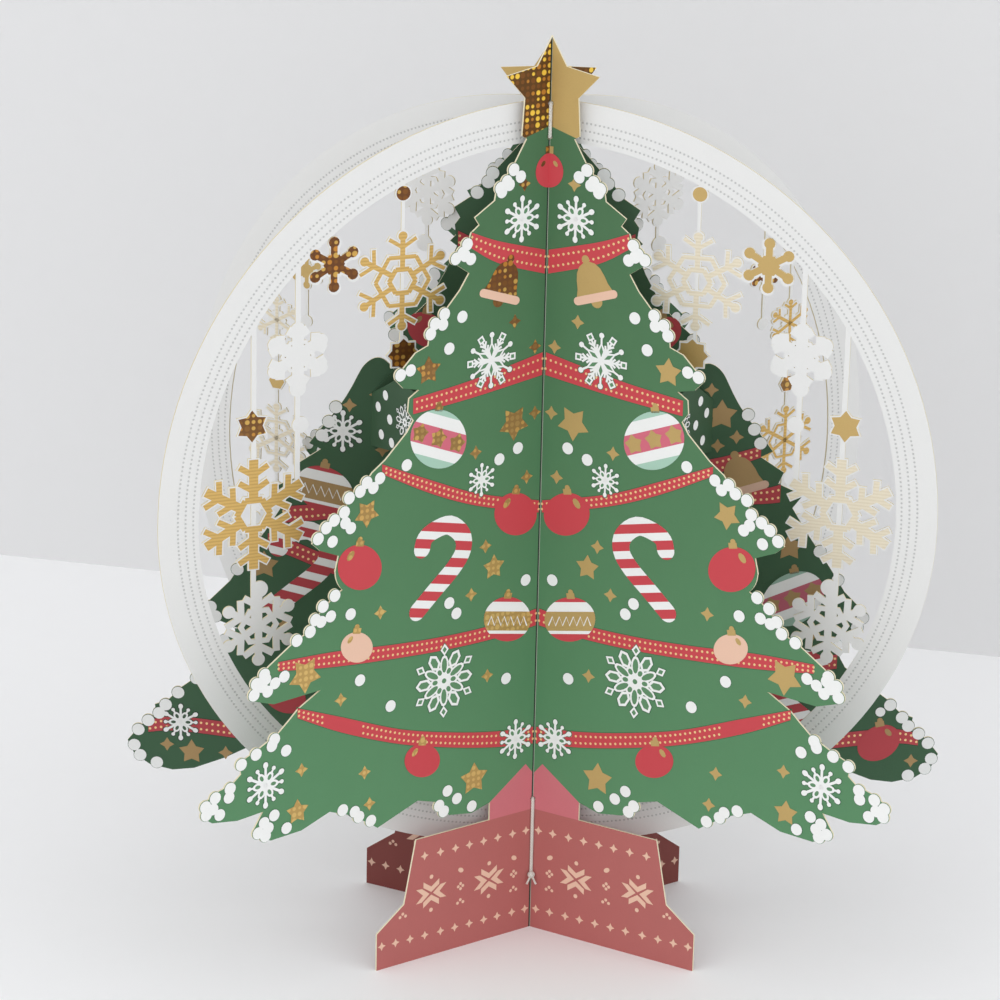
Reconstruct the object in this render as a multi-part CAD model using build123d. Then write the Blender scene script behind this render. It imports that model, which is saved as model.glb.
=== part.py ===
from build123d import *
import math
import os

# A standing paper card: a fir tree inside a round frame, made of five die-cut sheets.
# Each sheet is creased down its middle, and all five creases are stacked on one upright
# spine, where two loops of thread hold them. The sheets fan out like an open book, so
# the card stands by itself on the feet of its front and back trees.
#
# Axes: +Z up, +X to the right, -Y towards the side with the larger spread. The origin is
# the middle of the floor area that the card covers. All sizes are millimetres.
# A flat sheet is drawn as its right half: first number out from the crease, second
# number the height above the table.

# Paper, thread and the clearances between them
sheet_thickness = 0.5
strut_thickness = 0.3
crease_gap = 0.05
glue_gap = 0.05
thread_diameter = 0.8
thread_bend_room = 0.05
thread_hole_clearance = 0.4
thread_seat_gap = 0.02

# How far each half of a sheet leans towards the viewer, left half then right half, degrees
front_tree_angles = (33.0, 34.8)
front_ring_angles = (18.6, 17.8)
middle_tree_angles = (-5.0, 1.0)
back_ring_angles = (-30.0, -29.3)
back_tree_angles = (-31.3, -31.3)

# The round frame
ring_radius = 93.8
ring_lower_height = 88.5
ring_band_width = 9.6
ring_centre_height = 112.0

# Tree top star, trunk and base of the front and back trees
star_tip_height = 220.5
star_root_height = 198.2
star_root_reach = 8.0
back_star_drop = 1.5
trunk_reach = 13.0
skirt_height = 35.7
base_top_height = 31.1
base_top_reach = 34.4
base_waist_reach = 37.6
base_waist_height = 15.2
foot_reach = 45.4
foot_height = 9.4
bough_tip_reach = 94.4

# Round snow lumps, and the glass ball that bulges past the edge of the tree
snow_radius = 1.6
edge_ball_radius = 6.3
edge_ball_reach = 51.8
edge_ball_height = 102.9

# Middle tree
middle_peak_height = 199.6
middle_trunk_reach = 8.0
middle_trunk_bottom = 11.0

# Hanging pieces cut into the ring sheets, each string set in from the band's inner edge
outer_column_inset = 13.2
middle_column_inset = 23.7
inner_column_inset = 48.7
wide_string_width = 1.2
string_width = 0.8
bead_radius = 2.0
small_star_radius = 4.3
comb_flake_radius = 13.5
lace_flake_radius = 12.0
bud_flake_radius = 9.8
round_flake_radius = 8.0
solid_flake_radius = 6.8
solid_flake_turn = 48.6
cut_joint_overlap = 1.0
twig_lean = 58
back_inner_column_inset = 53.2
back_gold_column_inset = 21.3
back_small_lace_radius = 6.2
back_lace_radius = 9.0
back_bead_radius = 1.5
back_gem_radius = 2.4
back_gold_flake_radius = 4.6

# Folded struts between the trees, their lower edge set above the middle of the frame
strut_middle_reach = 39.6
strut_tree_reach = 33.0
strut_flap = 6.0
strut_rise = 9.5
strut_fold_height = 13.0
strut_tree_step = 1.5
strut_tree_height = 17.0
strut_shoulder = 0.4

# Thread loops
top_loop_wall = 0.9
bottom_loop_drop = 10.2
knot_radius = 0.9
knot_tail_length = 2.6
knot_tail_diameter = 0.5
knot_tail_spread = 26
knot_tail_tilt = 28

# Room that drawings and cutting tools reach past the sheets
spine_overlap = 1.0
reach_limit = 130.0
hole_tool_length = 4.0

half_thickness = sheet_thickness / 2
thread_radius = thread_diameter / 2
thread_hole_radius = (thread_diameter + thread_hole_clearance) / 2
ring_inner_radius = ring_radius - ring_band_width
ring_inner_lower = ring_lower_height - ring_band_width


def drawn(points):
    """A flat drawing bounded by straight lines through the points."""
    return make_face(Polyline(*points, close=True))


def rounds(radius, places):
    """Equal round lumps at the given places."""
    return [Pos(reach, height) * Circle(radius) for reach, height in places]


def around(shape, count):
    """The shape repeated evenly about the drawing's origin."""
    return [Rot(0, 0, 360 * turn / count) * shape for turn in range(count)]


def joined(shapes):
    """One flat drawing out of several that touch."""
    whole = shapes[0]
    for shape in shapes[1:]:
        whole = whole + shape
    return whole


def bar(length, width, start=0.0):
    """An upright bar that starts at a height above the drawing's origin."""
    return Pos(0, start + length / 2) * Rectangle(width, length)


def flake(radius, stem, twigs, tip=0.0, web=None, hub=0.0, window=0.0):
    """A six-armed snowflake: twigs are (share of the arm, length, width), tips are round."""
    parts = [bar(radius - tip, stem)]
    if tip:
        parts.append(Pos(0, radius - tip) * Circle(tip))
    for share, length, width in twigs:
        for lean in (-twig_lean, twig_lean):
            parts.append(Pos(0, share * radius) * Rot(0, 0, lean) * bar(length, width))
    whole = joined(around(joined(parts), 6))
    if hub:
        whole = whole + RegularPolygon(hub, 6)
    if web:
        whole = whole + (RegularPolygon(web[0], 6) - RegularPolygon(web[1], 6))
    if window:
        whole = whole - RegularPolygon(window, 6)
    return whole


def pointed_star(radius, inner_share, count):
    """A star whose first point is straight up."""
    points = []
    for step in range(2 * count):
        length = radius if step % 2 == 0 else radius * inner_share
        turn = math.pi * step / count
        points.append((length * math.sin(turn), length * math.cos(turn)))
    return drawn(points)


def star_edge(tip_height):
    """Half of the five-pointed star on the tree's top, from its tip to its root."""
    return [
        (-spine_overlap, tip_height),
        (0, tip_height),
        (4.1, tip_height - 6.6),
        (12.7, tip_height - 7.9),
        (7.4, tip_height - 13.5),
        (star_root_reach, star_root_height),
    ]


def trunk_and_base():
    """Half of the trunk and of the base that the tree stands on."""
    trunk = drawn([
        (-spine_overlap, base_top_height - spine_overlap),
        (trunk_reach, base_top_height - spine_overlap),
        (trunk_reach, skirt_height),
        (-spine_overlap, skirt_height),
    ])
    base = drawn([
        (-spine_overlap, base_top_height),
        (base_top_reach, base_top_height),
        (base_waist_reach, base_waist_height),
        (foot_reach, foot_height),
        (foot_reach, 0),
        (-spine_overlap, 0),
    ])
    return trunk + base


def tree_sheet(tip_height):
    """The full tree of the front and back sheets, up to the tip of its star."""
    crown = [
        (6.6, 197.4), (9.8, 192.2), (14.9, 186.2), (15.3, 184.1), (20.8, 180.9), (19.5, 179.0),
        (21.8, 177.4), (23.0, 173.6), (26.9, 171.4), (22.1, 168.1), (24.6, 164.4), (29.0, 159.8),
        (32.8, 155.8), (33.2, 152.7), (36.7, 151.5), (42.4, 146.2), (40.0, 143.7), (35.6, 142.6),
        (38.3, 141.0), (38.6, 137.9), (37.0, 135.6), (38.7, 133.0), (44.6, 127.5), (48.3, 125.0),
        (49.8, 123.1), (54.9, 120.4), (55.2, 117.9),
    ]
    middle = [
        (59.3, 115.2), (63.4, 112.4), (64.6, 111.0), (62.4, 109.0), (57.3, 106.8), (58.2, 103.0),
        (55.6, 98.6), (58.2, 97.3), (63.5, 92.8), (65.2, 90.0), (69.4, 88.2), (76.2, 83.8),
        (79.3, 80.8), (81.4, 78.4), (80.6, 76.4), (74.8, 74.4), (62.0, 75.1), (68.1, 71.7),
        (70.6, 69.4), (73.4, 67.0), (79.0, 64.2), (84.0, 62.2),
    ]
    skirt = [
        (83.6, 59.2), (85.8, 57.4), (91.0, 56.0), (bough_tip_reach, 53.6), (94.0, 50.8),
        (91.4, 49.0), (84.6, 48.0), (77.6, 48.6), (80.2, 44.6), (79.3, 42.2), (75.4, 40.9),
        (67.0, 41.4), (59.2, 44.2), (53.4, 42.0), (48.6, 39.0), (45.6, 36.9), (34.2, 41.1),
        (28.4, 39.4), (26.6, 36.4), (24.8, 35.2), (18.4, 34.2), (trunk_reach, skirt_height),
        (-spine_overlap, skirt_height),
    ]
    snow = [
        (10.2, 190.7), (12.1, 188.2), (13.9, 186.9), (22.9, 175.0), (24.2, 173.2), (26.0, 172.1),
        (28.9, 159.5), (31.5, 157.6), (32.7, 155.4), (40.9, 147.0), (49.8, 123.0), (51.6, 121.2),
        (54.6, 120.2), (55.9, 117.0), (58.6, 115.6), (60.8, 114.2), (63.0, 112.0), (58.3, 97.4),
        (61.5, 95.4), (63.6, 92.6), (65.0, 90.0), (68.6, 88.6), (77.4, 82.2), (79.6, 80.4),
        (80.2, 77.8), (74.6, 65.8), (79.6, 63.2), (83.6, 61.6), (86.6, 56.4), (90.6, 55.0),
        (93.2, 53.4), (93.0, 51.4), (79.0, 43.6), (77.0, 42.4), (55.6, 43.8), (51.0, 41.0),
        (47.6, 39.2), (28.0, 38.4), (26.6, 36.6),
    ]
    boughs = drawn(star_edge(tip_height) + crown + middle + skirt)
    ball = Pos(edge_ball_reach, edge_ball_height) * Circle(edge_ball_radius)
    return joined([boughs, trunk_and_base(), ball] + rounds(snow_radius, snow))


def middle_tree_sheet():
    """The darker tree between the two rings: no star, a trunk and no base."""
    peak = [
        (-spine_overlap, middle_trunk_bottom), (-spine_overlap, middle_peak_height),
        (0, middle_peak_height),
        (5.7, 196.0), (11.7, 189.1), (14.2, 186.8), (17.1, 182.6), (21.4, 179.6), (20.0, 177.2),
        (21.2, 175.5), (20.9, 173.0), (22.2, 171.6), (20.6, 170.4), (23.1, 164.3), (27.0, 157.0),
        (31.6, 152.2), (35.4, 148.8), (33.6, 146.6), (29.4, 145.4), (27.6, 138.4), (33.4, 137.8),
    ]
    round_bough = [
        (33.4, 137.8), (35.3, 140.9), (38.4, 143.0), (41.2, 141.6), (43.4, 138.0), (46.4, 132.4),
        (50.0, 127.4), (54.4, 121.6),
    ]
    boughs = [
        (54.4, 121.6), (51.6, 120.2), (57.2, 116.4), (56.0, 113.6), (62.0, 110.8), (59.6, 107.6),
        (64.0, 100.4), (69.0, 93.0), (73.0, 86.6), (78.6, 80.8), (77.2, 77.2), (70.2, 74.4), (74.0, 67.4),
        (79.8, 62.8), (84.6, 59.2), (88.0, 55.6), (91.0, 54.6), (90.6, 51.6), (94.6, 49.0),
        (97.6, 45.2), (96.0, 41.6), (92.2, 39.0), (86.8, 37.8), (81.6, 38.4), (74.0, 41.4),
        (66.0, 45.6), (60.0, 41.6), (50.0, 38.4), (44.0, 41.0), (34.0, 38.6), (22.0, 36.4),
        (middle_trunk_reach, 35.8),
        (middle_trunk_reach, middle_trunk_bottom),
        (-spine_overlap, middle_trunk_bottom),
    ]
    snow = [
        (12.7, 187.9), (13.7, 185.8), (16.2, 183.2), (34.6, 148.6), (33.0, 147.2), (48.2, 130.6),
        (49.8, 127.0), (51.4, 123.6), (77.6, 80.0), (76.4, 77.6), (66.6, 96.8), (71.2, 89.6),
        (81.0, 61.6), (85.4, 57.8), (88.4, 54.6), (90.0, 52.4), (92.6, 50.4), (95.0, 48.0),
        (96.0, 44.0), (94.6, 41.4), (90.6, 39.6),
    ]
    edge = Polyline(*peak) + Spline(*round_bough) + Polyline(*boughs)
    return joined([make_face(edge)] + rounds(snow_radius, snow))


def frame_edge(radius, lower_height):
    """The right half of the frame: a true circle above its middle, a little flatter below."""
    right = Pos(reach_limit / 2 - spine_overlap, 0) * Rectangle(reach_limit, 4 * reach_limit)
    upper = Pos(0, reach_limit) * Rectangle(4 * reach_limit, 2 * reach_limit)
    lower = Pos(0, -reach_limit) * Rectangle(4 * reach_limit, 2 * reach_limit)
    round_top = Circle(radius) & upper
    flat_foot = Ellipse(radius, lower_height) & lower
    return (round_top + flat_foot) & right


def ring_band():
    """The plain band of the frame, drawn about the frame's middle."""
    outside = frame_edge(ring_radius, ring_lower_height)
    return outside - frame_edge(ring_inner_radius, ring_inner_lower)


def hung(inset, lowest, width, pieces):
    """A string from the band down to a height above the frame's middle, and what hangs on it."""
    reach = ring_inner_radius - inset
    top = math.sqrt(ring_inner_radius ** 2 - reach ** 2) + cut_joint_overlap
    string = Pos(reach, (top + lowest) / 2) * Rectangle(width, top - lowest)
    return [string] + [Pos(reach + aside, height) * piece for aside, height, piece in pieces]


def front_ring_sheet():
    """The front frame, with its snowflakes, stars and beads cut from the same sheet."""
    comb = flake(comb_flake_radius, stem=2.8, twigs=[(0.42, 4.4, 2.0), (0.7, 4.4, 2.0)],
                 hub=5.2, window=2.8)
    bud = flake(bud_flake_radius, stem=1.7, twigs=[(0.5, 4.2, 1.6)], tip=1.5, web=(5.0, 3.6))
    lace = flake(lace_flake_radius, stem=1.8, twigs=[(0.66, 4.2, 1.5)], tip=1.4,
                 web=(7.4, 5.6), hub=4.2, window=2.2)
    petal = flake(round_flake_radius, stem=2.8, twigs=[(0.6, 2.8, 2.2)], tip=1.7, web=(4.2, 3.2))
    solid = flake(solid_flake_radius, stem=2.2, twigs=[], tip=1.6, hub=3.0)
    star = pointed_star(small_star_radius, inner_share=0.66, count=6)
    spark = pointed_star(small_star_radius, inner_share=0.78, count=8)
    bead = Circle(bead_radius)
    outer = hung(outer_column_inset, -25.8, wide_string_width, [
        (0.4, 22.7, star), (0, 1.5, comb), (-1.5, -16.8, bead), (-1.3, -25.8, bud)])
    middle = hung(middle_column_inset, 9.0, wide_string_width, [
        (0, 38.3, petal), (0, 30.7, bead), (-0.7, 21.9, bead)])
    inner = hung(inner_column_inset, 36.3, string_width, [
        (0, 74.4, bead), (0, 53.8, lace), (-0.5, 36.3, spark)])
    turn = math.radians(solid_flake_turn)
    out = ring_inner_radius - solid_flake_radius + cut_joint_overlap
    at_the_band = Pos(out * math.cos(turn), out * math.sin(turn)) * solid
    whole = joined([ring_band()] + outer + middle + inner + [at_the_band])
    return Pos(0, ring_centre_height) * whole


def back_ring_sheet():
    """The back frame, which carries another set of hanging pieces."""
    small_lace = flake(back_small_lace_radius, stem=1.4, twigs=[(0.6, 2.4, 1.2)], tip=1.0, hub=2.6)
    lace = flake(back_lace_radius, stem=1.5, twigs=[(0.64, 3.4, 1.3)], tip=1.2,
                 web=(5.4, 4.0), hub=2.6)
    bud = flake(round_flake_radius, stem=1.6, twigs=[(0.52, 3.4, 1.5)], tip=1.4, web=(4.4, 3.2))
    gold = flake(back_gold_flake_radius, stem=1.6, twigs=[], tip=1.2, hub=2.2)
    gem = RegularPolygon(back_gem_radius, 6)
    bead = Circle(back_bead_radius)
    outer = hung(outer_column_inset, -24.0, string_width, [
        (0, 30.3, small_lace), (0, 15.0, gem), (0, 0.6, lace), (0, -11.8, bead), (0, -24.0, bud)])
    middle = hung(back_gold_column_inset, 31.2, string_width, [
        (0, 43.6, gold), (0, 31.2, bead)])
    inner = hung(back_inner_column_inset, 55.0, string_width, [
        (0, 67.4, bud), (0.6, 55.0, Circle(bead_radius))])
    return Pos(0, ring_centre_height) * joined([ring_band()] + outer + middle + inner)


def fold_turn(angles):
    """The direction that the crease's mitre is turned by when the halves lean unequally."""
    return (angles[0] - angles[1]) / 2


def fold_half_depth(angles):
    """Half of the sheet's thickness measured through its crease."""
    return half_thickness / math.cos(math.radians((angles[0] + angles[1]) / 2))


def folded(sheet, angles, crease_y, holes):
    """A flat half sheet mirrored and folded on the spine, with the thread holes pierced."""
    plate = Rot(90, 0, 0) * extrude(sheet, half_thickness, both=True)
    room = 4 * reach_limit
    right_side = Rot(0, 0, fold_turn(angles)) * Pos(room / 2, 0, 0) * Box(room, room, 2 * room)
    left_side = Rot(0, 0, fold_turn(angles)) * Pos(-room / 2, 0, 0) * Box(room, room, 2 * room)
    right_half = (Rot(0, 0, -angles[1]) * plate) & right_side
    left_half = (Rot(0, 0, angles[0]) * mirror(plate, about=Plane.YZ)) & left_side
    leaf = right_half + left_half
    for height in holes:
        hole = Pos(0, 0, height) * Rot(90, 0, 0) * Cylinder(thread_hole_radius, hole_tool_length)
        leaf = leaf - hole
    return Pos(0, crease_y, 0) * leaf


def wing_line(angle, side):
    """Unit directions along one half of a sheet and out of its back face, seen from above."""
    turn = math.radians(angle)
    along = (side * math.cos(turn), -math.sin(turn))
    backwards = (side * math.sin(turn), math.cos(turn))
    return along, backwards


def place(crease_y, line, reach, off):
    """A point at a reach along a half sheet and at a distance off its mid plane."""
    along, backwards = line
    return (along[0] * reach + backwards[0] * off, crease_y + along[1] * reach + backwards[1] * off)


def ribbon(points, width):
    """A flat strip of paper seen edge on, with sharp folds at the inner points."""
    half = width / 2
    left_side = []
    right_side = []
    for number, point in enumerate(points):
        before = points[max(number - 1, 0)]
        after = points[min(number + 1, len(points) - 1)]
        here_in = Vector(point[0] - before[0], point[1] - before[1])
        here_out = Vector(after[0] - point[0], after[1] - point[1])
        if number == 0:
            here_in = here_out
        if number == len(points) - 1:
            here_out = here_in
        way = here_in.normalized() + here_out.normalized()
        across = Vector(-way.Y, way.X).normalized()
        side = Vector(-here_in.Y, here_in.X).normalized()
        reach = half / across.dot(side)
        left_side.append((point[0] + across.X * reach, point[1] + across.Y * reach))
        right_side.append((point[0] - across.X * reach, point[1] - across.Y * reach))
    return drawn(left_side + right_side[::-1])


def strut(side, tree_angles, tree_crease_y, middle_crease_y, facing):
    """A folded strip glued to the middle tree and to the front (-1) or back (+1) tree."""
    wing = 0 if side < 0 else 1
    off = half_thickness + glue_gap + strut_thickness / 2
    middle_line = wing_line(middle_tree_angles[wing], side)
    tree_line = wing_line(tree_angles[wing], side)
    middle_flap = place(middle_crease_y, middle_line, strut_middle_reach - strut_flap, facing * off)
    middle_fold = place(middle_crease_y, middle_line, strut_middle_reach, facing * off)
    tree_fold = place(tree_crease_y, tree_line, strut_tree_reach, -facing * off)
    tree_flap = place(tree_crease_y, tree_line, strut_tree_reach - strut_flap, -facing * off)
    strip = ribbon([middle_flap, middle_fold, tree_fold, tree_flap], strut_thickness)
    strut_bottom = ring_centre_height + strut_rise
    strut_tree_bottom = strut_bottom + strut_tree_step
    tall = extrude(strip, 2 * reach_limit)
    inward = tree_flap[0]
    outward = middle_fold[0] + side
    shoulder = middle_fold[0] + (tree_fold[0] - middle_fold[0]) * strut_shoulder
    blank = drawn([
        (outward, strut_bottom),
        (middle_fold[0], strut_bottom),
        (shoulder, strut_tree_bottom),
        (inward, strut_tree_bottom),
        (inward, strut_tree_bottom + strut_tree_height),
        (shoulder, strut_tree_bottom + strut_tree_height),
        (middle_fold[0], strut_bottom + strut_fold_height),
        (outward, strut_bottom + strut_fold_height),
    ])
    room = 4 * reach_limit
    cutter = Rot(90, 0, 0) * extrude(blank, room, both=True)
    return tall & cutter


def seat_depth(radius, angles):
    """How far a round thing's middle lies from the crease when it nests between two halves."""
    lean = math.radians(max(abs(angle) for angle in angles))
    return fold_half_depth(angles) + radius / math.cos(lean) + thread_seat_gap


def thread_loop(low, high):
    """A closed loop of thread in the plane of the spine, through all five sheets."""
    front_y = front_tree_y - seat_depth(thread_radius, front_tree_angles)
    back_y = back_tree_y + seat_depth(thread_radius, back_tree_angles)
    path = Plane.YZ * Pos((front_y + back_y) / 2, (low + high) / 2) * RectangleRounded(
        back_y - front_y, high - low, thread_radius + thread_bend_room)
    line = path.wire()
    section = Plane(origin=line @ 0, z_dir=line % 0) * Circle(thread_radius)
    return sweep(section, path=line)


def knot(low):
    """The knot at the foot of a loop, with the two cut ends of the thread."""
    centre = Pos(0, front_tree_y - seat_depth(knot_radius, front_tree_angles), low + knot_radius)
    ball = centre * Sphere(knot_radius)
    tail = Pos(0, 0, -knot_tail_length / 2) * Cylinder(knot_tail_diameter / 2, knot_tail_length)
    left_tail = centre * Rot(-knot_tail_tilt, knot_tail_spread, 0) * tail
    right_tail = centre * Rot(-knot_tail_tilt, -knot_tail_spread, 0) * tail
    return ball + left_tail + right_tail


os.makedirs("parts", exist_ok=True)

# The creases lie one behind the other, each as close to the next as their folds allow
stack = [front_tree_angles, front_ring_angles, middle_tree_angles, back_ring_angles, back_tree_angles]
creases = [0.0]
for nearer, farther in zip(stack[:-1], stack[1:]):
    creases.append(creases[-1] + fold_half_depth(nearer) + fold_half_depth(farther) + crease_gap)

# The spine stands so that the card's floor area is centred on the origin
front_reach = bough_tip_reach * math.sin(math.radians(max(front_tree_angles))) - creases[0]
back_reach = bough_tip_reach * math.sin(math.radians(-min(back_tree_angles))) + creases[-1]
spine_shift = (front_reach - back_reach) / 2
front_tree_y, front_ring_y, middle_tree_y, back_ring_y, back_tree_y = [
    crease + spine_shift for crease in creases]

# Thread holes: the top loop holds the frames' upper band, the bottom loop their lower band
ring_top = ring_centre_height + ring_radius
top_high = ring_top - top_loop_wall
top_low = ring_top - ring_band_width + top_loop_wall
bottom_high = ring_centre_height - ring_inner_lower + thread_hole_radius
bottom_low = ring_centre_height - ring_lower_height - bottom_loop_drop
ring_holes = [top_high, top_low]
tree_holes = [top_high, top_low, bottom_high, bottom_low]

tree = tree_sheet(star_tip_height)
back_tree = tree_sheet(star_tip_height - back_star_drop)
nodes = {
    "front_tree_leaf": folded(tree, front_tree_angles, front_tree_y, tree_holes),
    "front_ring_leaf": folded(front_ring_sheet(), front_ring_angles, front_ring_y, ring_holes),
    "middle_tree_leaf": folded(middle_tree_sheet(), middle_tree_angles, middle_tree_y, tree_holes),
    "back_ring_leaf": folded(back_ring_sheet(), back_ring_angles, back_ring_y, ring_holes),
    "back_tree_leaf": folded(back_tree, back_tree_angles, back_tree_y, tree_holes),
    "front_left_strut": strut(-1, front_tree_angles, front_tree_y, middle_tree_y, -1),
    "front_right_strut": strut(1, front_tree_angles, front_tree_y, middle_tree_y, -1),
    "back_left_strut": strut(-1, back_tree_angles, back_tree_y, middle_tree_y, 1),
    "back_right_strut": strut(1, back_tree_angles, back_tree_y, middle_tree_y, 1),
    "top_binding_thread": thread_loop(top_low, top_high),
    "bottom_binding_thread": thread_loop(bottom_low, bottom_high) + knot(bottom_low),
}

for name, shape in nodes.items():
    export_step(shape, os.path.join("parts", name + ".step"))
    box = shape.bounding_box()
    print(name, len(shape.solids()), "solid(s)", round(shape.volume, 1), "mm3",
          [round(value, 2) for value in (*box.min, *box.max)])
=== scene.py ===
# %% [markdown]
# This lesson dresses a standing paper card: a fir tree in a round snowflake frame, made of
# five die-cut sheets that are creased on one spine and tied with two loops of thread.
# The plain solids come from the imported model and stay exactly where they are. Blender adds
# what a printer and a foil press would add: ink, foil, paper fibre and pricked dots.

# %% Load the card's solids
import bmesh
import bpy
import math
from functools import partial
from mathutils import Matrix, Vector


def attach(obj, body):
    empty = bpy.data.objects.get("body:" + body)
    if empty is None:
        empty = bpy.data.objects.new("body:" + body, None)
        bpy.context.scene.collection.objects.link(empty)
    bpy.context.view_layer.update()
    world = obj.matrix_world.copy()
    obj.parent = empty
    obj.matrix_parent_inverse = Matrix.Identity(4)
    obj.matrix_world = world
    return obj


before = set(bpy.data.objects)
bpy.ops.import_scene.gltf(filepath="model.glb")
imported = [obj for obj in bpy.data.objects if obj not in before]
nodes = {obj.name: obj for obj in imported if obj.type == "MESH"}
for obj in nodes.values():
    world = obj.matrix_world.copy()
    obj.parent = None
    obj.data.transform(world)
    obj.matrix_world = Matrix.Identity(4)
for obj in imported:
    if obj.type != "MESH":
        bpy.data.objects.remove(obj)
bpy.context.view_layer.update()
print("Sheets, struts and threads:", ", ".join(sorted(nodes)))

# %% [markdown]
# The camera stands in front of the card, a little to the left, and looks down at it. A
# camera object can be turned with three unit directions: its right, its up and its back.
# They are worked out from yaw, pitch and roll, which are easy to nudge one at a time.

# %% Place the camera
def placed(name, data):
    """A new object in the scene."""
    thing = bpy.data.objects.new(name, data)
    bpy.context.scene.collection.objects.link(thing)
    return thing


mm = 0.001
yaw = math.radians(3.74)
pitch = math.radians(18.93)
roll = math.radians(1.29)
camera_place = Vector((-69.1, -910.7, 422.9)) * mm
ahead = Vector((math.sin(yaw) * math.cos(pitch), math.cos(yaw) * math.cos(pitch), -math.sin(pitch)))
level_right = Vector((math.cos(yaw), -math.sin(yaw), 0.0))
level_up = level_right.cross(ahead)
camera_right = level_right * math.cos(roll) + level_up * math.sin(roll)
camera_up = level_up * math.cos(roll) - level_right * math.sin(roll)
camera_data = bpy.data.cameras.new("camera")
camera_data.sensor_width = 36.0
camera_data.lens = 148.3
camera = placed("camera", camera_data)
camera_turn = Matrix((camera_right, camera_up, -ahead)).transposed().to_4x4()
camera.matrix_world = Matrix.Translation(camera_place) @ camera_turn
bpy.context.scene.camera = camera
print("Camera at", [round(value, 3) for value in camera_place])

# %% [markdown]
# Paper looks right under large soft lights, because small lights would draw hard shadows
# behind every thin edge. One wide light stands on the left, weaker ones on the right and
# in front, and a pale world fills the shadows.

# %% Light the studio
def soft_light(name, place, aim, size, watts, tint):
    """A square area light that looks at a point, sizes in metres."""
    data = bpy.data.lights.new(name, "AREA")
    data.size = size
    data.energy = watts
    data.color = tint
    lamp = placed(name, data)
    lamp.location = place
    lamp.rotation_euler = (Vector(aim) - Vector(place)).to_track_quat("-Z", "Y").to_euler()


soft_light("left_light", (-1.0, -0.9, 1.1), (0, 0, 0.1), 1.2, 3.4, (1.0, 0.985, 0.97))
soft_light("right_light", (1.1, -0.8, 0.9), (0, 0, 0.1), 1.1, 2.6, (0.98, 0.985, 1.0))
soft_light("front_light", (-0.15, -1.5, 0.42), (0, 0, 0.09), 1.3, 2.4, (1.0, 1.0, 1.0))
world = bpy.data.worlds.new("pale room")
bpy.context.scene.world = world
world.use_nodes = True
world.node_tree.nodes["Background"].inputs["Color"].default_value = (0.965, 0.975, 1.0, 1.0)
world.node_tree.nodes["Background"].inputs["Strength"].default_value = 0.98
bpy.context.scene.view_settings.view_transform = "Standard"

# %% [markdown]
# Colours are given as they look on screen, 0 to 255, and turned into the linear values
# that a shader works with. Every node tree below is built with one small helper, which
# adds a node, names it, fills its sockets and joins it to others in a single line.

# %% Helpers for materials
screen_to_paint = 1.12


def paint(red, green, blue, gain=screen_to_paint):
    """Screen colour to the linear colour of the surface under this light."""
    linear = [((part / 255 + 0.055) / 1.055) ** 2.4 for part in (red, green, blue)]
    return (*[min(part * gain, 0.92) for part in linear], 1.0)


def add(tree, kind, name, links=(), values=()):
    """Adds a node, fills in its values and links sockets into it."""
    node = tree.nodes.new(kind)
    node.name = name
    node.label = name
    for socket, value in dict(values).items():
        node.inputs[socket].default_value = value
    for socket, source in dict(links).items():
        tree.links.new(source, node.inputs[socket])
    return node


def maths(operation, first, second=None, clamp=False):
    """One Math node: numbers become values, sockets become links and name the tree."""
    tree = first.id_data if hasattr(first, "id_data") else second.id_data
    node = tree.nodes.new("ShaderNodeMath")
    node.operation = operation
    node.use_clamp = clamp
    for slot, given in enumerate((first, second)):
        if given is None:
            continue
        if isinstance(given, (int, float)):
            node.inputs[slot].default_value = given
        else:
            tree.links.new(given, node.inputs[slot])
    return node.outputs[0]


def plus(first, second):
    """The sum of two sockets or numbers."""
    return maths("ADD", first, second)


def minus(first, second):
    """The first socket or number less the second."""
    return maths("SUBTRACT", first, second)


def times(first, second, clamp=False):
    """The product, held between 0 and 1 if clamped."""
    return maths("MULTIPLY", first, second, clamp)


def diagonal(first, second):
    """The long side of a right-angled triangle."""
    return maths("SQRT", plus(times(first, first), times(second, second)))


def mixed(mask, under, over):
    """A colour mix by a mask socket: numbers are colours, sockets are links."""
    tree = mask.id_data
    node = tree.nodes.new("ShaderNodeMix")
    node.data_type = "RGBA"
    for socket, given in (("Factor", mask), ("A", under), ("B", over)):
        target = [s for s in node.inputs if s.name == socket and s.enabled][0]
        if isinstance(given, (tuple, float, int)):
            target.default_value = given
        else:
            tree.links.new(given, target)
    return [s for s in node.outputs if s.enabled][0]


def new_group(name, inputs, outputs):
    """An empty shader group with named number inputs and typed outputs."""
    group = bpy.data.node_groups.new(name, "ShaderNodeTree")
    for label, value in inputs.items():
        socket = group.interface.new_socket(label, in_out="INPUT", socket_type="NodeSocketFloat")
        socket.default_value = value
    for label, kind in outputs.items():
        group.interface.new_socket(label, in_out="OUTPUT", socket_type=kind)
    entry = group.nodes.new("NodeGroupInput")
    leave = group.nodes.new("NodeGroupOutput")
    return group, entry, leave


def use_group(tree, group, values=()):
    """Places a group in a material with its own values."""
    node = tree.nodes.new("ShaderNodeGroup")
    node.node_tree = group
    for socket, value in dict(values).items():
        node.inputs[socket].default_value = value
    return node


def relief(shader, name, height, strength, depth):
    """Presses a height socket into a shader as bump."""
    tree = height.id_data
    bump = add(tree, "ShaderNodeBump", name, {"Height": height},
               {"Strength": strength, "Distance": depth})
    tree.links.new(bump.outputs[0], shader.inputs["Normal"])


def dress(name, material):
    """Gives a solid its one material."""
    nodes[name].data.materials.clear()
    nodes[name].data.materials.append(material)


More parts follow.
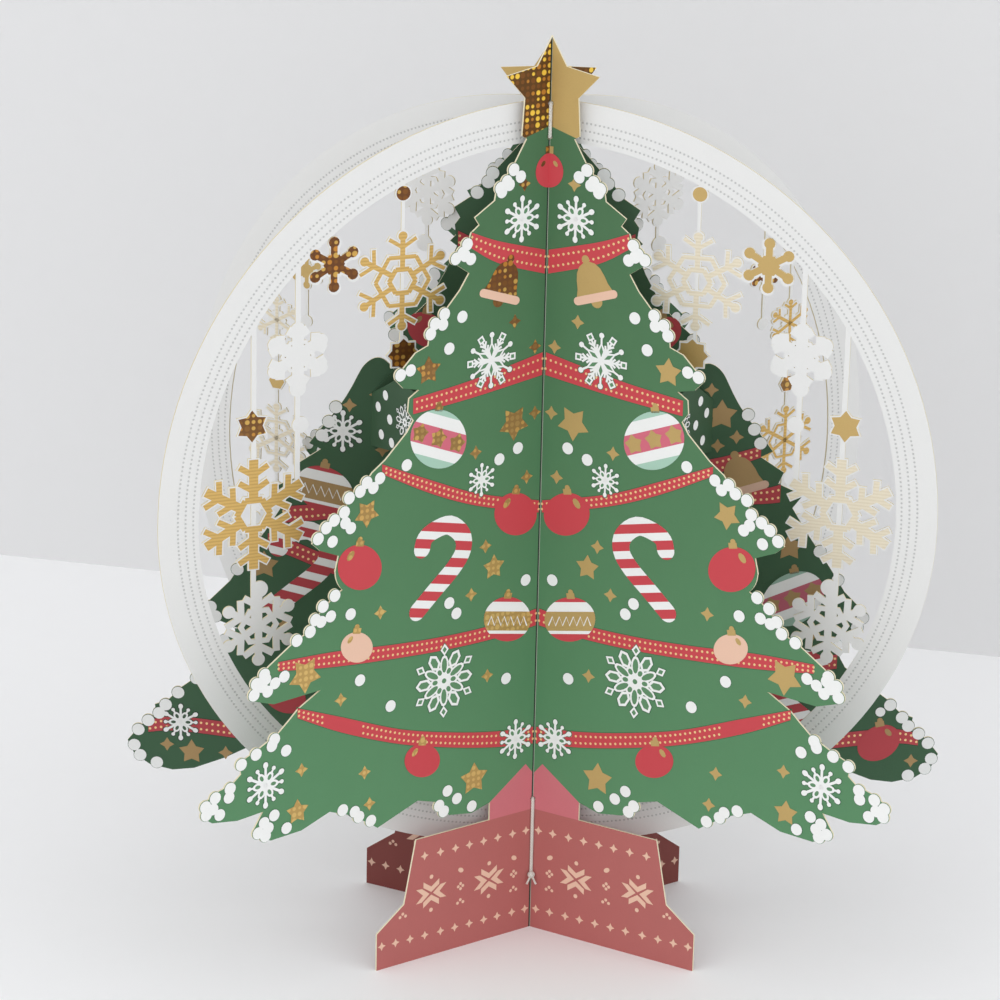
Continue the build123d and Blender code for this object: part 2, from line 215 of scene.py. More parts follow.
def new_material(name):
    """A material with its shader and output ready."""
    material = bpy.data.materials.new(name)
    material.use_nodes = True
    tree = material.node_tree
    return material, tree, tree.nodes["Principled BSDF"]


# %% [markdown]
# Card is pressed from fibres. Close up it has a fine uneven tooth and a faint mottling of
# its colour. One group makes both from noise on Object coordinates, so every card and ink
# material can place it with its own size and strength.

# %% Build the paper fibre group
def paper_fibre_group():
    """Mottle (about 1) and height of pressed paper fibres."""
    group, entry, leave = new_group(
        "paper fibre", {"Grains per metre": 2600.0, "Mottle": 0.06},
        {"Shade": "NodeSocketFloat", "Height": "NodeSocketFloat"})
    where = add(group, "ShaderNodeTexCoord", "where")
    grain = add(group, "ShaderNodeTexNoise", "fine grain",
                {"Vector": where.outputs["Object"], "Scale": entry.outputs["Grains per metre"]},
                {"Detail": 3.0, "Roughness": 0.6})
    wide = times(entry.outputs["Grains per metre"], 0.055)
    cloud = add(group, "ShaderNodeTexNoise", "soft cloud",
                {"Vector": where.outputs["Object"], "Scale": wide}, {"Detail": 2.0})
    both = plus(times(grain.outputs[0], 0.6), times(cloud.outputs[0], 0.4))
    swing = times(minus(both, 0.5), 2.0)
    shade = plus(times(swing, entry.outputs["Mottle"]), 1.0)
    group.links.new(shade, leave.inputs["Shade"])
    group.links.new(grain.outputs[0], leave.inputs["Height"])
    return group


fibre = paper_fibre_group()
print("Group made:", fibre.name)

# %% [markdown]
# Printed ink is a thin even film on the card, a little smoother than the bare sheet. The
# same recipe serves every ink: one colour, the paper's mottle over it, and the paper's
# tooth as a weak bump. The middle and back trees get darker copies of the inks: painted shade.

# %% Mix the printing inks
def shaded(colour, shade):
    """Multiplies a colour by a shade socket."""
    tree = shade.id_data
    grey = add(tree, "ShaderNodeCombineColor", "grey",
               {"Red": shade, "Green": shade, "Blue": shade})
    node = tree.nodes.new("ShaderNodeMix")
    node.data_type = "RGBA"
    node.blend_type = "MULTIPLY"
    node.inputs[0].default_value = 1.0
    slots = [s for s in node.inputs if s.type == "RGBA" and s.enabled]
    if isinstance(colour, tuple):
        slots[0].default_value = colour
    else:
        tree.links.new(colour, slots[0])
    tree.links.new(grey.outputs[0], slots[1])
    return [s for s in node.outputs if s.enabled][0]


def ink_material(name, colour, roughness=0.6, mottle=0.05):
    """Matt ink on card."""
    material, tree, shader = new_material(name)
    paper = use_group(tree, fibre, {"Mottle": mottle})
    tree.links.new(shaded(colour, paper.outputs["Shade"]), shader.inputs["Base Color"])
    relief(shader, "tooth", paper.outputs["Height"], 0.25, 0.00008)
    shader.inputs["Roughness"].default_value = roughness
    return material


ink_colours = {
    "white": (224, 225, 223),
    "shadow": (50, 96, 62),
    "green": (84, 128, 90),
    "red": (186, 58, 66),
    "peach": (218, 180, 157),
    "mint": (156, 190, 172),
    "pink": (196, 96, 114),
}


def ink_set(label, shade_factors):
    """One material for each ink, darkened by a factor as painted shade where the leaf stands in shade."""
    return {ink: ink_material(label + " " + ink + " ink", paint(
        *[part * shade_factors.get(ink, shade_factors["others"]) for part in colour]))
        for ink, colour in ink_colours.items()}


front_inks = ink_set("front", {"others": 1.0})
# Painted shade: the middle and back leaves stand behind the front tree, so their inks are darker copies.
middle_inks_in_painted_shade = ink_set("middle", {"others": 0.85, "white": 0.95, "green": 0.56, "shadow": 0.5, "red": 0.86})
back_inks_in_painted_shade = ink_set("back", {"others": 0.92, "green": 0.8, "shadow": 0.8})
print("Inks:", ", ".join(ink_colours))

# %% [markdown]
# Gold foil is a metal film pressed on the card. On the sides that face the left light it
# shows a fine grid of bright grains, on the right sides it is an even matt gold; both looks
# are painted reflection of the one foil. A group makes the grid once: round cells in rows,
# each with its own brightness, some missing.

# %% Build the foil grain group
def foil_grain_group():
    """A grid of round grains with uneven brightness, for painted glints, in leaf coordinates."""
    group, entry, leave = new_group(
        "foil grain", {"Out": 0.0, "Up": 0.0, "Pitch": 0.0015},
        {"Grain": "NodeSocketFloat", "Tone": "NodeSocketFloat"})
    across = maths("DIVIDE", entry.outputs["Out"], entry.outputs["Pitch"])
    upward = maths("DIVIDE", entry.outputs["Up"], entry.outputs["Pitch"])
    side = minus(maths("FRACT", across), 0.5)
    rise = minus(maths("FRACT", upward), 0.5)
    far = diagonal(side, rise)
    cell = add(group, "ShaderNodeCombineXYZ", "cell",
               {"X": maths("FLOOR", across), "Y": maths("FLOOR", upward)})
    luck = add(group, "ShaderNodeTexWhiteNoise", "luck", {"Vector": cell.outputs[0]})
    size = plus(times(luck.outputs[0], 0.2), 0.3)
    grain = times(minus(size, far), 9.0, True)
    tone = add(group, "ShaderNodeTexWhiteNoise", "tone",
               {"Vector": add(group, "ShaderNodeVectorMath", "other cell",
                              {0: cell.outputs[0]}, {1: (37.0, 11.0, 5.0)}).outputs[0]})
    group.links.new(grain, leave.inputs["Grain"])
    group.links.new(tone.outputs[0], leave.inputs["Tone"])
    return group


foil_grain = foil_grain_group()


def foil_grid(tree, out, up):
    """Places the grain group on a leaf's own coordinates."""
    grains = use_group(tree, foil_grain)
    tree.links.new(out, grains.inputs["Out"])
    tree.links.new(up, grains.inputs["Up"])
    return grains


print("Group made:", foil_grain.name)

# %% [markdown]
# The leaves stand at different angles, so their prints are laid out flat: how far out from
# the crease, and how high above the table. A material finds the first number as the
# distance of the shaded point from the leaf's own upright crease line.

# %% Where each leaf stands
leaves = {
    "front_tree_leaf": {"turns": (33.0, 34.8), "crease": 1.216},
    "front_ring_leaf": {"turns": (18.6, 17.8), "crease": 1.83},
    "middle_tree_leaf": {"turns": (-5.0, 1.0), "crease": 2.394},
    "back_ring_leaf": {"turns": (-30.0, -29.3), "crease": 2.98},
    "back_tree_leaf": {"turns": (-31.3, -31.3), "crease": 3.61},
}
half_sheet = 0.25
spine_middle = 2.4


def leaf_frame(leaf, side, face):
    """Matrix from a flat drawing in millimetres to one face of one wing, in metres."""
    facts = leaves[leaf]
    turn = math.radians(facts["turns"][0 if side < 0 else 1])
    along = Vector((side * math.cos(turn), -math.sin(turn), 0.0))
    out = Vector((side * math.sin(turn), math.cos(turn), 0.0)) * face
    corner = Vector((0.0, facts["crease"], 0.0)) + out * half_sheet
    turned = Matrix((along, Vector((0, 0, 1)), out)).transposed().to_4x4()
    return Matrix.Scale(mm, 4) @ Matrix.Translation(corner) @ turned


def leaf_places(tree, crease):
    """Sockets: distance out from the crease, height, and the side, all in metres."""
    where = add(tree, "ShaderNodeTexCoord", "where")
    parts = add(tree, "ShaderNodeSeparateXYZ", "parts", {"Vector": where.outputs["Object"]})
    deep = minus(parts.outputs["Y"], crease * mm)
    return diagonal(parts.outputs["X"], deep), parts.outputs["Z"], parts.outputs["X"], where


def face_mask(where):
    """1 on the flat faces of a leaf and 0 on its cut edges."""
    lean = add(where.id_data, "ShaderNodeSeparateXYZ", "lean", {"Vector": where.outputs["Normal"]})
    steep = maths("ABSOLUTE", lean.outputs["Y"])
    return maths("GREATER_THAN", steep, 0.7)


print("Leaves:", ", ".join(leaves))

# %% [markdown]
# A tree leaf carries four fields of colour: gold foil on the star, green boughs that get
# lighter downwards, a rose trunk and a brick base. The darker top of the boughs is painted
# shade. Each field is cut out by the height and the distance from the crease. The cut edge
# shows the cream core of the card. A thin dark line with a light edge along the crease is
# painted shade and highlight, and the star foil's glints are painted reflection.

# %% Make the tree card materials
cream_edge = paint(214, 205, 176)
base_top = 0.0311
trunk_left_height = 0.0400
trunk_left_slope = 1.23
trunk_right_height = 0.04507
trunk_right_slope = 0.72
star_foot_height = 0.1997
star_foot_slope = 0.28
crease_shade_width = 0.0006
crease_highlight_saving = 0.0002


def painted_glint(tone, brightest=(0.60, 0.36, 0.08, 1.0)):
    """The painted glint of a foil grain: brown, orange or a brighter tone by chance."""
    warm = mixed(maths("GREATER_THAN", tone, 0.34), (0.20, 0.075, 0.012, 1.0), (0.52, 0.22, 0.03, 1.0))
    return mixed(maths("GREATER_THAN", tone, 0.68), warm, brightest)


def tree_material(name, crease, shaded_top_green, low_green, full, base, glint_side=1.0):
    """Printed tree card, with the star foil, trunk and base if it is a full tree."""
    material, tree, shader = new_material(name)
    out, up, across, where = leaf_places(tree, crease)
    paper = use_group(tree, fibre, {"Mottle": 0.07})
    # Painted shade: the green is darker towards the top of the leaf.
    high = add(tree, "ShaderNodeMapRange", "height share", {"Value": up},
               {"From Min": 0.04, "From Max": 0.19})
    colour = mixed(high.outputs[0], low_green, shaded_top_green)
    foil = None
    if full:
        left_slope = plus(times(out, trunk_left_slope), trunk_left_height)
        right_slope = minus(trunk_right_height, times(out, trunk_right_slope))
        trunk_top = maths("MINIMUM", left_slope, right_slope)
        colour = mixed(maths("LESS_THAN", up, trunk_top), colour, paint(190, 105, 112))
        colour = mixed(maths("LESS_THAN", up, base_top), colour, base)
        star_foot = minus(star_foot_height, times(out, star_foot_slope))
        foil = maths("GREATER_THAN", up, star_foot)
        # Painted reflection: on the wing that faces the left light the star foil is dark with bright grains,
        # on the other an even light gold.
        grains = foil_grid(tree, out, up)
        glinting_grains = mixed(grains.outputs["Grain"], (0.12, 0.05, 0.008, 1.0),
                       painted_glint(grains.outputs["Tone"], (0.92, 0.60, 0.07, 1.0)))
        on_left = maths("LESS_THAN", times(across, glint_side), 0.0)
        gold = mixed(on_left, (0.53, 0.365, 0.13, 1.0), glinting_grains)
        colour = mixed(foil, colour, gold)
    colour = shaded(colour, paper.outputs["Shade"])
    # Painted shade and highlight along the crease: a thin dark line on the left wing, a light one on the
    # right.
    right = maths("GREATER_THAN", across, 0.0)
    crease_line_width = minus(crease_shade_width, times(right, crease_highlight_saving))
    fold = maths("LESS_THAN", out, crease_line_width)
    crease_shade_and_highlight = mixed(right, (0.012, 0.026, 0.014, 1.0), (0.42, 0.44, 0.36, 1.0))
    colour = mixed(fold, colour, crease_shade_and_highlight)
    face = face_mask(where)
    colour = mixed(face, cream_edge, colour)
    tree.links.new(colour, shader.inputs["Base Color"])
    relief(shader, "tooth", paper.outputs["Height"], 0.35, 0.0001)
    if foil is not None:
        shine = times(foil, face)
        tree.links.new(times(shine, 0.55), shader.inputs["Metallic"])
        tree.links.new(minus(0.66, times(shine, 0.26)), shader.inputs["Roughness"])
    else:
        shader.inputs["Roughness"].default_value = 0.68
    return material


# Painted shade: the middle and back cards and the back tree's base are darker than the front ones.
tree_colours_with_painted_shade = {
    "front_tree_leaf": (paint(62, 101, 65), paint(78, 127, 87), True, paint(167, 93, 89)),
    "middle_tree_leaf": (paint(42, 74, 47), paint(44, 79, 51), False, None),
    "back_tree_leaf": (paint(50, 88, 56), paint(52, 90, 58), True, paint(112, 50, 44)),
}
for leaf, (shaded_top_green, low_green, full, base) in tree_colours_with_painted_shade.items():
    dress(leaf, tree_material(leaf.replace("_leaf", " card"), leaves[leaf]["crease"], shaded_top_green,
                              low_green, full, base, -1.0 if leaf == "back_tree_leaf" else 1.0))
print("Tree cards dressed:", ", ".join(tree_colours_with_painted_shade))

# %% [markdown]
# The round frame is white card with three rows of small pricked dots round its band. The
# dots are laid out in polar form: the distance from the frame's middle picks the row, and
# the angle picks the dot. They darken the card a little and press it in.

# %% Make the frame card materials
ring_middle = 112.0
ring_outside = 93.8
ring_below = 88.5
ring_band = 9.6
dot_pitch = 1.02 * mm
dot_radius = 0.3 * mm
dot_sharpness = 9000.0


def ring_material(name, crease):
    """White card with rows of pricked dots round the band."""
    material, tree, shader = new_material(name)
    out, up, _, where = leaf_places(tree, crease)
    paper = use_group(tree, fibre, {"Mottle": 0.03})
    rise = minus(up, ring_middle * mm)
    squeeze = maths("LESS_THAN", rise, 0.0)
    stretch = plus(times(squeeze, ring_outside / ring_below - 1.0), 1.0)
    tall = times(rise, stretch)
    far = diagonal(out, tall)
    angle = maths("ARCTAN2", tall, out)
    dots = None
    for row, share in enumerate((0.49, 0.68, 0.87)):
        radius = (ring_outside - ring_band * share) * mm
        count = math.floor(2 * math.pi * radius / dot_pitch)
        turn = plus(times(angle, count / (2 * math.pi)), 0.5 * row)
        aside = times(minus(maths("FRACT", plus(turn, 500.0)), 0.5), dot_pitch)
        inward = minus(far, radius)
        hole = times(minus(dot_radius, diagonal(aside, inward)), dot_sharpness, True)
        dots = hole if dots is None else maths("MAXIMUM", dots, hole)
    face = face_mask(where)
    dots = times(dots, face)
    colour = mixed(times(dots, 0.5), paint(211, 211, 209), paint(136, 138, 136))
    colour = shaded(colour, paper.outputs["Shade"])
    colour = mixed(face, paint(205, 194, 160), colour)
    tree.links.new(colour, shader.inputs["Base Color"])
    height = minus(times(paper.outputs["Height"], 0.4), dots)
    relief(shader, "press", height, 0.6, 0.00012)
    shader.inputs["Roughness"].default_value = 0.5
    return material


for leaf in ("front_ring_leaf", "back_ring_leaf"):
    dress(leaf, ring_material(leaf.replace("_leaf", " card"), leaves[leaf]["crease"]))
print("Frames dressed")

# %% [markdown]
# The struts are strips of the same green card. The two binding threads are twisted cotton:
# slanting bands, made by a wave across the thread's height and its turn, serve as plies.

# %% Make the strut and thread materials
def thread_material():
    """Cream cotton with slanting plies."""
    material, tree, shader = new_material("cotton thread")
    where = add(tree, "ShaderNodeTexCoord", "where")
    slant = add(tree, "ShaderNodeMapping", "slant", {"Vector": where.outputs["Object"]},
                {"Rotation": (math.radians(38), math.radians(38), 0.0)})
    plies = add(tree, "ShaderNodeTexWave", "plies", {"Vector": slant.outputs[0]},
                {"Scale": 900.0, "Distortion": 1.2, "Detail": 2.0})
    fuzz = use_group(tree, fibre, {"Grains per metre": 9000.0, "Mottle": 0.12})
    colour = mixed(plies.outputs["Fac"], paint(206, 202, 192), paint(222, 219, 211))
    tree.links.new(shaded(colour, fuzz.outputs["Shade"]), shader.inputs["Base Color"])
    relief(shader, "twist", plies.outputs["Fac"], 0.8, 0.0002)
    shader.inputs["Roughness"].default_value = 0.85
    return material


strut_card = ink_material("strut card", paint(40, 72, 44), 0.66, 0.07)
thread_cotton = thread_material()
for name in nodes:
    if "strut" in name or "thread" in name:
        dress(name, strut_card if "strut" in name else thread_cotton)
print("Struts and threads dressed")

# %% [markdown]
# The prints are modelled as very thin films of ink, so that they keep crisp edges at any
# distance. Each ink has one flat bmesh for the drawing of a wing. Shapes are dropped into
# it at a step, which is a height of a few hundredths of a millimetre above the card.

# %% Drawing tools for flat print
film = 0.010
film_rest = 0.004
step_height = 0.014


def spot(place, step, turn=0.0, wide=1.0, tall=1.0, slant=0.0):
    """Matrix of a flat shape: stretched, slanted, turned by degrees and put at its place."""
    slanted = Matrix.Identity(4)
    slanted[1][0] = slant
    return (Matrix.Translation((place[0], place[1], film_rest + step * step_height)) @ slanted
            @ Matrix.Rotation(math.radians(turn), 4, "Z")
            @ Matrix.Diagonal((wide, tall, 1.0, 1.0)))


def dot(sheet, place, radius, step, sides=12, tall=1.0, turn=0.0, slant=0.0):
    """A round or oval dot."""
    bmesh.ops.create_circle(sheet, cap_ends=True, segments=sides, radius=radius,
                            matrix=spot(place, step, turn, 1.0, tall, slant))


def star(sheet, place, radius, points, waist, step, turn=0.0):
    """A star: a circle whose every second corner is pulled inwards."""
    ring = bmesh.ops.create_circle(sheet, cap_ends=True, segments=2 * points, radius=radius,
                                   matrix=spot(place, step, turn))["verts"]
    middle = Matrix.Translation((-place[0], -place[1], 0.0))
    bmesh.ops.scale(sheet, vec=(waist, waist, 1.0), verts=ring[1::2], space=middle)


def block(sheet, place, length, width, step, turn=0.0):
    """A bar with its middle at the place, its length upright before it is turned."""
    bmesh.ops.create_grid(sheet, x_segments=1, y_segments=1, size=0.5,
                          matrix=spot(place, step, turn, width, length))


def patch(sheet, points, step, place, turn):
    """A flat field inside a few corner points, drawn about a place."""
    matrix = spot(place, step, turn)
    sheet.faces.new([sheet.verts.new(matrix @ Vector((*point, 0.0))) for point in points])


def eased(line, share=4):
    """More rows between the given ones, on a smooth curve through all of them."""
    rows = []
    last = len(line) - 1
    for number in range(last):
        ends = [line[max(number - 1, 0)], line[number], line[number + 1], line[min(number + 2, last)]]
        for part in range(share):
            t = part / share
            rows.append(tuple(
                0.5 * (2 * b + (c - a) * t + (2 * a - 5 * b + 4 * c - d) * t * t
                       + (3 * b - a - 3 * c + d) * t ** 3) for a, b, c, d in zip(*ends)))
    return rows + [tuple(line[-1])]


def pull(sheet, pairs, step):
    """Starts with one edge and extrudes it from pair to pair of points."""
    height = film_rest + step * step_height
    first, second = [sheet.verts.new((*point, height)) for point in pairs[0]]
    edge = sheet.edges.new((first, second))
    for pair in pairs[1:]:
        grown = bmesh.ops.extrude_edge_only(sheet, edges=[edge])["geom"]
        edge = [part for part in grown if isinstance(part, bmesh.types.BMEdge)][0]
        ends = list(edge.verts)
        rail = [link for link in ends[0].link_edges if link != edge][0]
        if rail.other_vert(ends[0]) != first:
            ends.reverse()
        first, second = ends
        first.co = (*pair[0], height)
        second.co = (*pair[1], height)


def stroke(sheet, line, width, step, share=4):
    """A line of even width along a smooth curve."""
    rows = [Vector(row) for row in eased(line, share)]
    pairs = []
    for number, here in enumerate(rows):
        way = (rows[min(number + 1, len(rows) - 1)] - rows[max(number - 1, 0)]).normalized()
        side = Vector((-way.y, way.x)) * width / 2
        pairs.append([tuple(here + side), tuple(here - side)])
    pull(sheet, pairs, step)


def pour(sheet, part):
    """Adds a finished flat shape to an ink and frees it."""
    holder = bpy.data.meshes.new("holder")
    part.to_mesh(holder)
    part.free()
    sheet.from_mesh(holder)
    bpy.data.meshes.remove(holder)


def cut_off(part, base, normal):
    """Removes what lies beyond a line, on the side that its normal points to."""
    bmesh.ops.bisect_plane(part, geom=part.verts[:] + part.edges[:] + part.faces[:], plane_co=base,
                           plane_no=normal, clear_outer=True)


def keep_between(part, middle, low, high, tilt):
    """Cuts a flat shape down to the band between two parallel lines."""
    lean = math.radians(tilt)
    normal = Vector((-math.sin(lean), math.cos(lean), 0.0))
    base = Vector((middle[0], middle[1], 0.0))
    for cut, outward in ((low, -1.0), (high, 1.0)):
        cut_off(part, base + normal * cut, normal * outward)


print("Film of ink, in millimetres:", film)

# %% [markdown]
# Three kinds of printed snowflake repeat on the boughs. Each is one arm drawn several
# times round a centre: bars, balls, kites and ovals. Small green shapes on top open the
# holes. A thin dark outline lies under the white, so the flakes stay crisp on green.

# %% Draw the snowflakes
printed_twig_lean = 38


def armed(place, radius, turn):
    """A point on a flake's arm, from the share of its radius and its direction."""
    lean = math.radians(turn)
    return place[0] - radius * math.sin(lean), place[1] + radius * math.cos(lean)


def twig_pairs(sheet, place, radius, twigs, level, turn, lean):
    """Pairs of bars that lean out from an arm, each as (share of the arm, length, width)."""
    for number, (share, length, width) in enumerate(twigs):
        foot = armed(place, share * radius, turn)
        for side in (-lean, lean):
            block(sheet, armed(foot, length / 2, turn + side), length, width,
                  level + 0.5 + 0.1 * number + 0.05 * (side > 0), turn + side)


def printed_flake(sheets, place, radius, step, hub, width, arms, holes, twigs=(), eye=0.0):
    """A flake in white over a dark outline, each arm shape drawn six times, and green holes.

    Lengths are shares of the radius. A bar is (direction, distance, length, share of the
    width). A ball is (direction, distance, size, corners, stretch, extra turn), and no extra
    turn keeps it upright. A hole is a ball with its height in steps. A twig is (distance,
    length), and the eye is the size of a hole in the middle.
    """
    for sheet, grow, level in ((sheets["shadow"], 0.2, step - 2), (sheets["white"], 0.0, step)):
        if hub:
            dot(sheet, place, hub * radius + grow, level, 12)
        bar_width = width * radius + grow
        for arm in range(6):
            for number, (way, share, size, *shape) in enumerate(arms, 1 if hub else 0):
                turn = 60 * arm + way
                here = armed(place, share * radius, turn)
                lift = level + 0.1 * number
                if len(shape) == 1:
                    block(sheet, here, size * radius, bar_width * shape[0], lift, turn)
                else:
                    sides, tall, extra = shape
                    twist = 0.0 if extra is None else turn + extra
                    dot(sheet, here, size * radius + grow, lift, sides, tall, twist)
            twig_pairs(sheet, place, radius,
                       [(share, length * radius, bar_width) for share, length in twigs],
                       level, 60 * arm + 30, printed_twig_lean)
    for arm in range(6):
        for way, share, size, sides, tall, extra, lift in holes:
            turn = 60 * arm + way
            dot(sheets["green"], armed(place, share * radius, turn), size * radius, step + lift, sides,
                tall, turn + extra)
    if eye:
        dot(sheets["green"], place, eye * radius, step + 1, 8)


# Six long arms with a ball tip, and between them six leaf rings with a ball on a stem
berry_flake = partial(
    printed_flake, hub=0.2, width=0.12, holes=[(30, 0.38, 0.085, 8, 1.6, 0, 1)],
    arms=[(0, 0.46, 0.84, 1.0), (0, 0.88, 0.125, 10, 1.2, 0), (30, 0.4, 0.17, 10, 1.35, 0),
          (30, 0.66, 0.24, 0.8), (30, 0.79, 0.1, 8, 1.0, None)])
# A star of six slit petals with balls on stems, and between them arms with open squares
window_flake = partial(
    printed_flake, hub=0, width=0.075, twigs=[(0.36, 0.24), (0.54, 0.22)],
    holes=[(0, 0.33, 0.07, 4, 2.8, 0, 1), (30, 0.86, 0.085, 4, 1.0, 45, 1)],
    arms=[(0, 0.32, 0.17, 4, 1.9, 0), (0, 0.7, 0.3, 1.0), (0, 0.87, 0.1, 8, 1.0, None),
          (30, 0.42, 0.72, 1.0), (30, 0.86, 0.17, 4, 1.0, 45)])
# Open loops: six long lenses that end in small kites, with six broad leaves between
lace_flake = partial(
    printed_flake, hub=0.17, width=0.0,
    arms=[(0, 0.42, 0.13, 12, 2.1, 0), (0, 0.84, 0.125, 4, 1.3, 0), (30, 0.28, 0.125, 8, 1.2, 0),
          (30, 0.62, 0.17, 6, 1.5, 0)],
    holes=[(0, 0.42, 0.08, 12, 2.5, 0, 1), (0, 0.84, 0.065, 4, 1.3, 0, 1),
           (30, 0.28, 0.065, 8, 1.3, 0, 1.1), (30, 0.62, 0.1, 6, 1.7, 0, 1)], eye=0.07)
print("Flakes ready: berry, window and lace")

# %% [markdown]
# The hanging ornaments are flat too: glass balls with a gold cap, a bell and a sugar cane.
# A striped ball is an oval that is cut by pairs of parallel lines, one oval for each
# stripe. The cane is one bent line, and its stripes are slices of a copy of it.

# %% Draw the glass balls, the bell and the cane
ball_slant = 0.21
ball_tilt = math.degrees(math.atan(ball_slant))
stripe_tilt = 22


def knob(sheets, place, tall, step):
    """The small gold cap and ring on top of a ball."""
    block(sheets["gold"], (place[0], place[1] + tall + 0.3), 1.4, 2.2, step, ball_tilt)
    dot(sheets["gold"], (place[0], place[1] + tall + 1.25), 0.7, step + 0.2, 10)


def plain_ball(sheets, ink, place, wide, tall, step=4):
    """A ball of one colour with a gold highlight on its outer upper side."""
    dot(sheets[ink], place, wide, step, 36, tall / wide, 0.0, ball_slant)
    knob(sheets, place, tall, step + 1)
    dot(sheets["gold"], (place[0] + 0.42 * wide, place[1] + 0.6 * tall), 0.13 * wide, step + 1.4, 10,
        1.7, 40)


def ball_band(sheet, place, wide, tall, low, high, step, tilt=ball_tilt):
    """The part of a ball between two shares of its height."""
    part = bmesh.new()
    dot(part, place, wide, step, 48, tall / wide, 0.0, ball_slant)
    keep_between(part, place, low * tall, high * tall, tilt)
    pour(sheet, part)


def striped_ball(sheets, place, wide, tall, step=4):
    """Mint, white, pink and gold stars, white and mint, from the top down."""
    dot(sheets["white"], place, wide, step, 48, tall / wide, 0.0, ball_slant)
    ball_band(sheets["mint"], place, wide, tall, 0.76, 1.4, step + 1, stripe_tilt)
    ball_band(sheets["pink"], place, wide, tall, -0.29, 0.36, step + 1, stripe_tilt)
    ball_band(sheets["mint"], place, wide, tall, -1.4, -0.64, step + 1, stripe_tilt)
    for share in (-0.66, 0.0, 0.66):
        out = share * wide
        rise = out * math.tan(math.radians(stripe_tilt))
        star(sheets["gold"], (place[0] + out, place[1] + 0.03 * tall + rise), 0.31 * wide, 5, 0.66,
             step + 2, 20)
    knob(sheets, place, tall, step + 1)


def wave_ball(sheets, place, wide, tall, step=4):
    """A red ball with two white rings and a gold belt that carries a white zigzag."""
    dot(sheets["red"], place, wide, step, 36, tall / wide, 0.0, ball_slant)
    knob(sheets, place, tall, step + 1)
    ball_band(sheets["white"], place, wide, tall, -0.64, 0.76, step + 1)
    ball_band(sheets["gold"], place, wide, tall, -0.5, 0.34, step + 2)
    turns = 13
    line = []
    for turn in range(turns):
        out = (turn / (turns - 1) - 0.5) * 1.66 * wide
        rise = (-0.08 + (0.2 if turn % 2 else -0.2)) * tall
        line.append((place[0] + out, place[1] + rise + out * ball_slant))
    stroke(sheets["white"], line, 0.35, step + 3, 1)


def bell(sheets, place, tilt=19, step=4):
    """A gold bell on a peach rim, hung from its top and swung outwards."""
    dome = [(-4.9, 1.0), (-4.2, 2.6), (-3.8, 4.6), (-3.2, 6.4), (-2.2, 7.7), (-0.8, 8.4), (0.8, 8.4),
            (2.2, 7.7), (3.2, 6.4), (3.8, 4.6), (4.2, 2.6), (4.9, 1.0)]
    rim = armed(place, -9.4, tilt)
    patch(sheets["gold"], dome, step, rim, tilt)
    dot(sheets["gold"], armed(rim, 9.1, tilt), 1.0, step + 0.2, 12)
    dot(sheets["gold"], armed(rim, -1.0, tilt), 1.5, step - 1, 16)
    block(sheets["peach"], rim, 10.0, 2.0, step + 1, tilt + 90)
    for side in (-5.0, 5.0):
        dot(sheets["peach"], armed(rim, side, tilt - 90), 1.0, step + 1.2, 12)


cane_line = [
    (34.1, 104.0), (33.4, 106.3), (31.0, 107.8), (26.5, 108.4), (22.8, 105.3), (22.4, 101.4), (25.1, 97.6),
    (30.3, 93.1), (35.2, 88.8)]
cane_width = 4.6
cane_pitch = 4.15
cane_slant = 13


def cane(sheets, shift=(0.0, 0.0)):
    """A white sugar cane with red slices and round ends, hook up."""
    step = 4
    line = [(out + shift[0], up + shift[1]) for out, up in cane_line]
    stroke(sheets["white"], line, cane_width, step)
    for end in (line[0], line[-1]):
        dot(sheets["white"], end, cane_width / 2, step + 0.2, 20)
    for number in range(8):
        low = (number - 5.55) * cane_pitch
        for end in (None, line[0], line[-1]):
            part = bmesh.new()
            if end is None:
                stroke(part, line, cane_width, step + 1)
            else:
                dot(part, end, cane_width / 2, step + 1.2, 20)
            keep_between(part, line[1], low, low + cane_pitch * 0.54, cane_slant)
            pour(sheets["red"], part)


print("Cane length, in millimetres:", round(sum(
    math.dist(a, b) for a, b in zip(cane_line[:-1], cane_line[1:])), 1))

# %% [markdown]
# The garlands are red bands with two rows of gold dots. A band is given by a few rows:
# how far out, its upper edge and its lower edge. The rows are eased into a smooth sag.

# %% Draw the garlands
def garland(sheets, rows, step=1, plain=None):
    """A red band and its gold dots, except in a plain stretch that lies under a ball."""
    smooth = eased(rows, 5)
    pull(sheets["shadow"], [((out, top + 0.2), (out, low - 0.2)) for out, top, low in smooth], step - 1)
    pull(sheets["red"], [((out, top), (out, low)) for out, top, low in smooth], step)
    travelled = 0.0
    for before, after in zip(smooth[:-1], smooth[1:]):
        length = math.dist((before[0], before[1]), (after[0], after[1]))
        while travelled < length:
            t = travelled / length
            out, top, low = [a + (b - a) * t for a, b in zip(before, after)]
            if plain is None or not plain[0] < out < plain[1]:
                for row in (-0.22, 0.22):
                    dot(sheets["dots"], (out, (top + low) / 2 + row * (top - low)), 0.33, step + 1, 6)
            travelled += 1.38
        travelled -= length


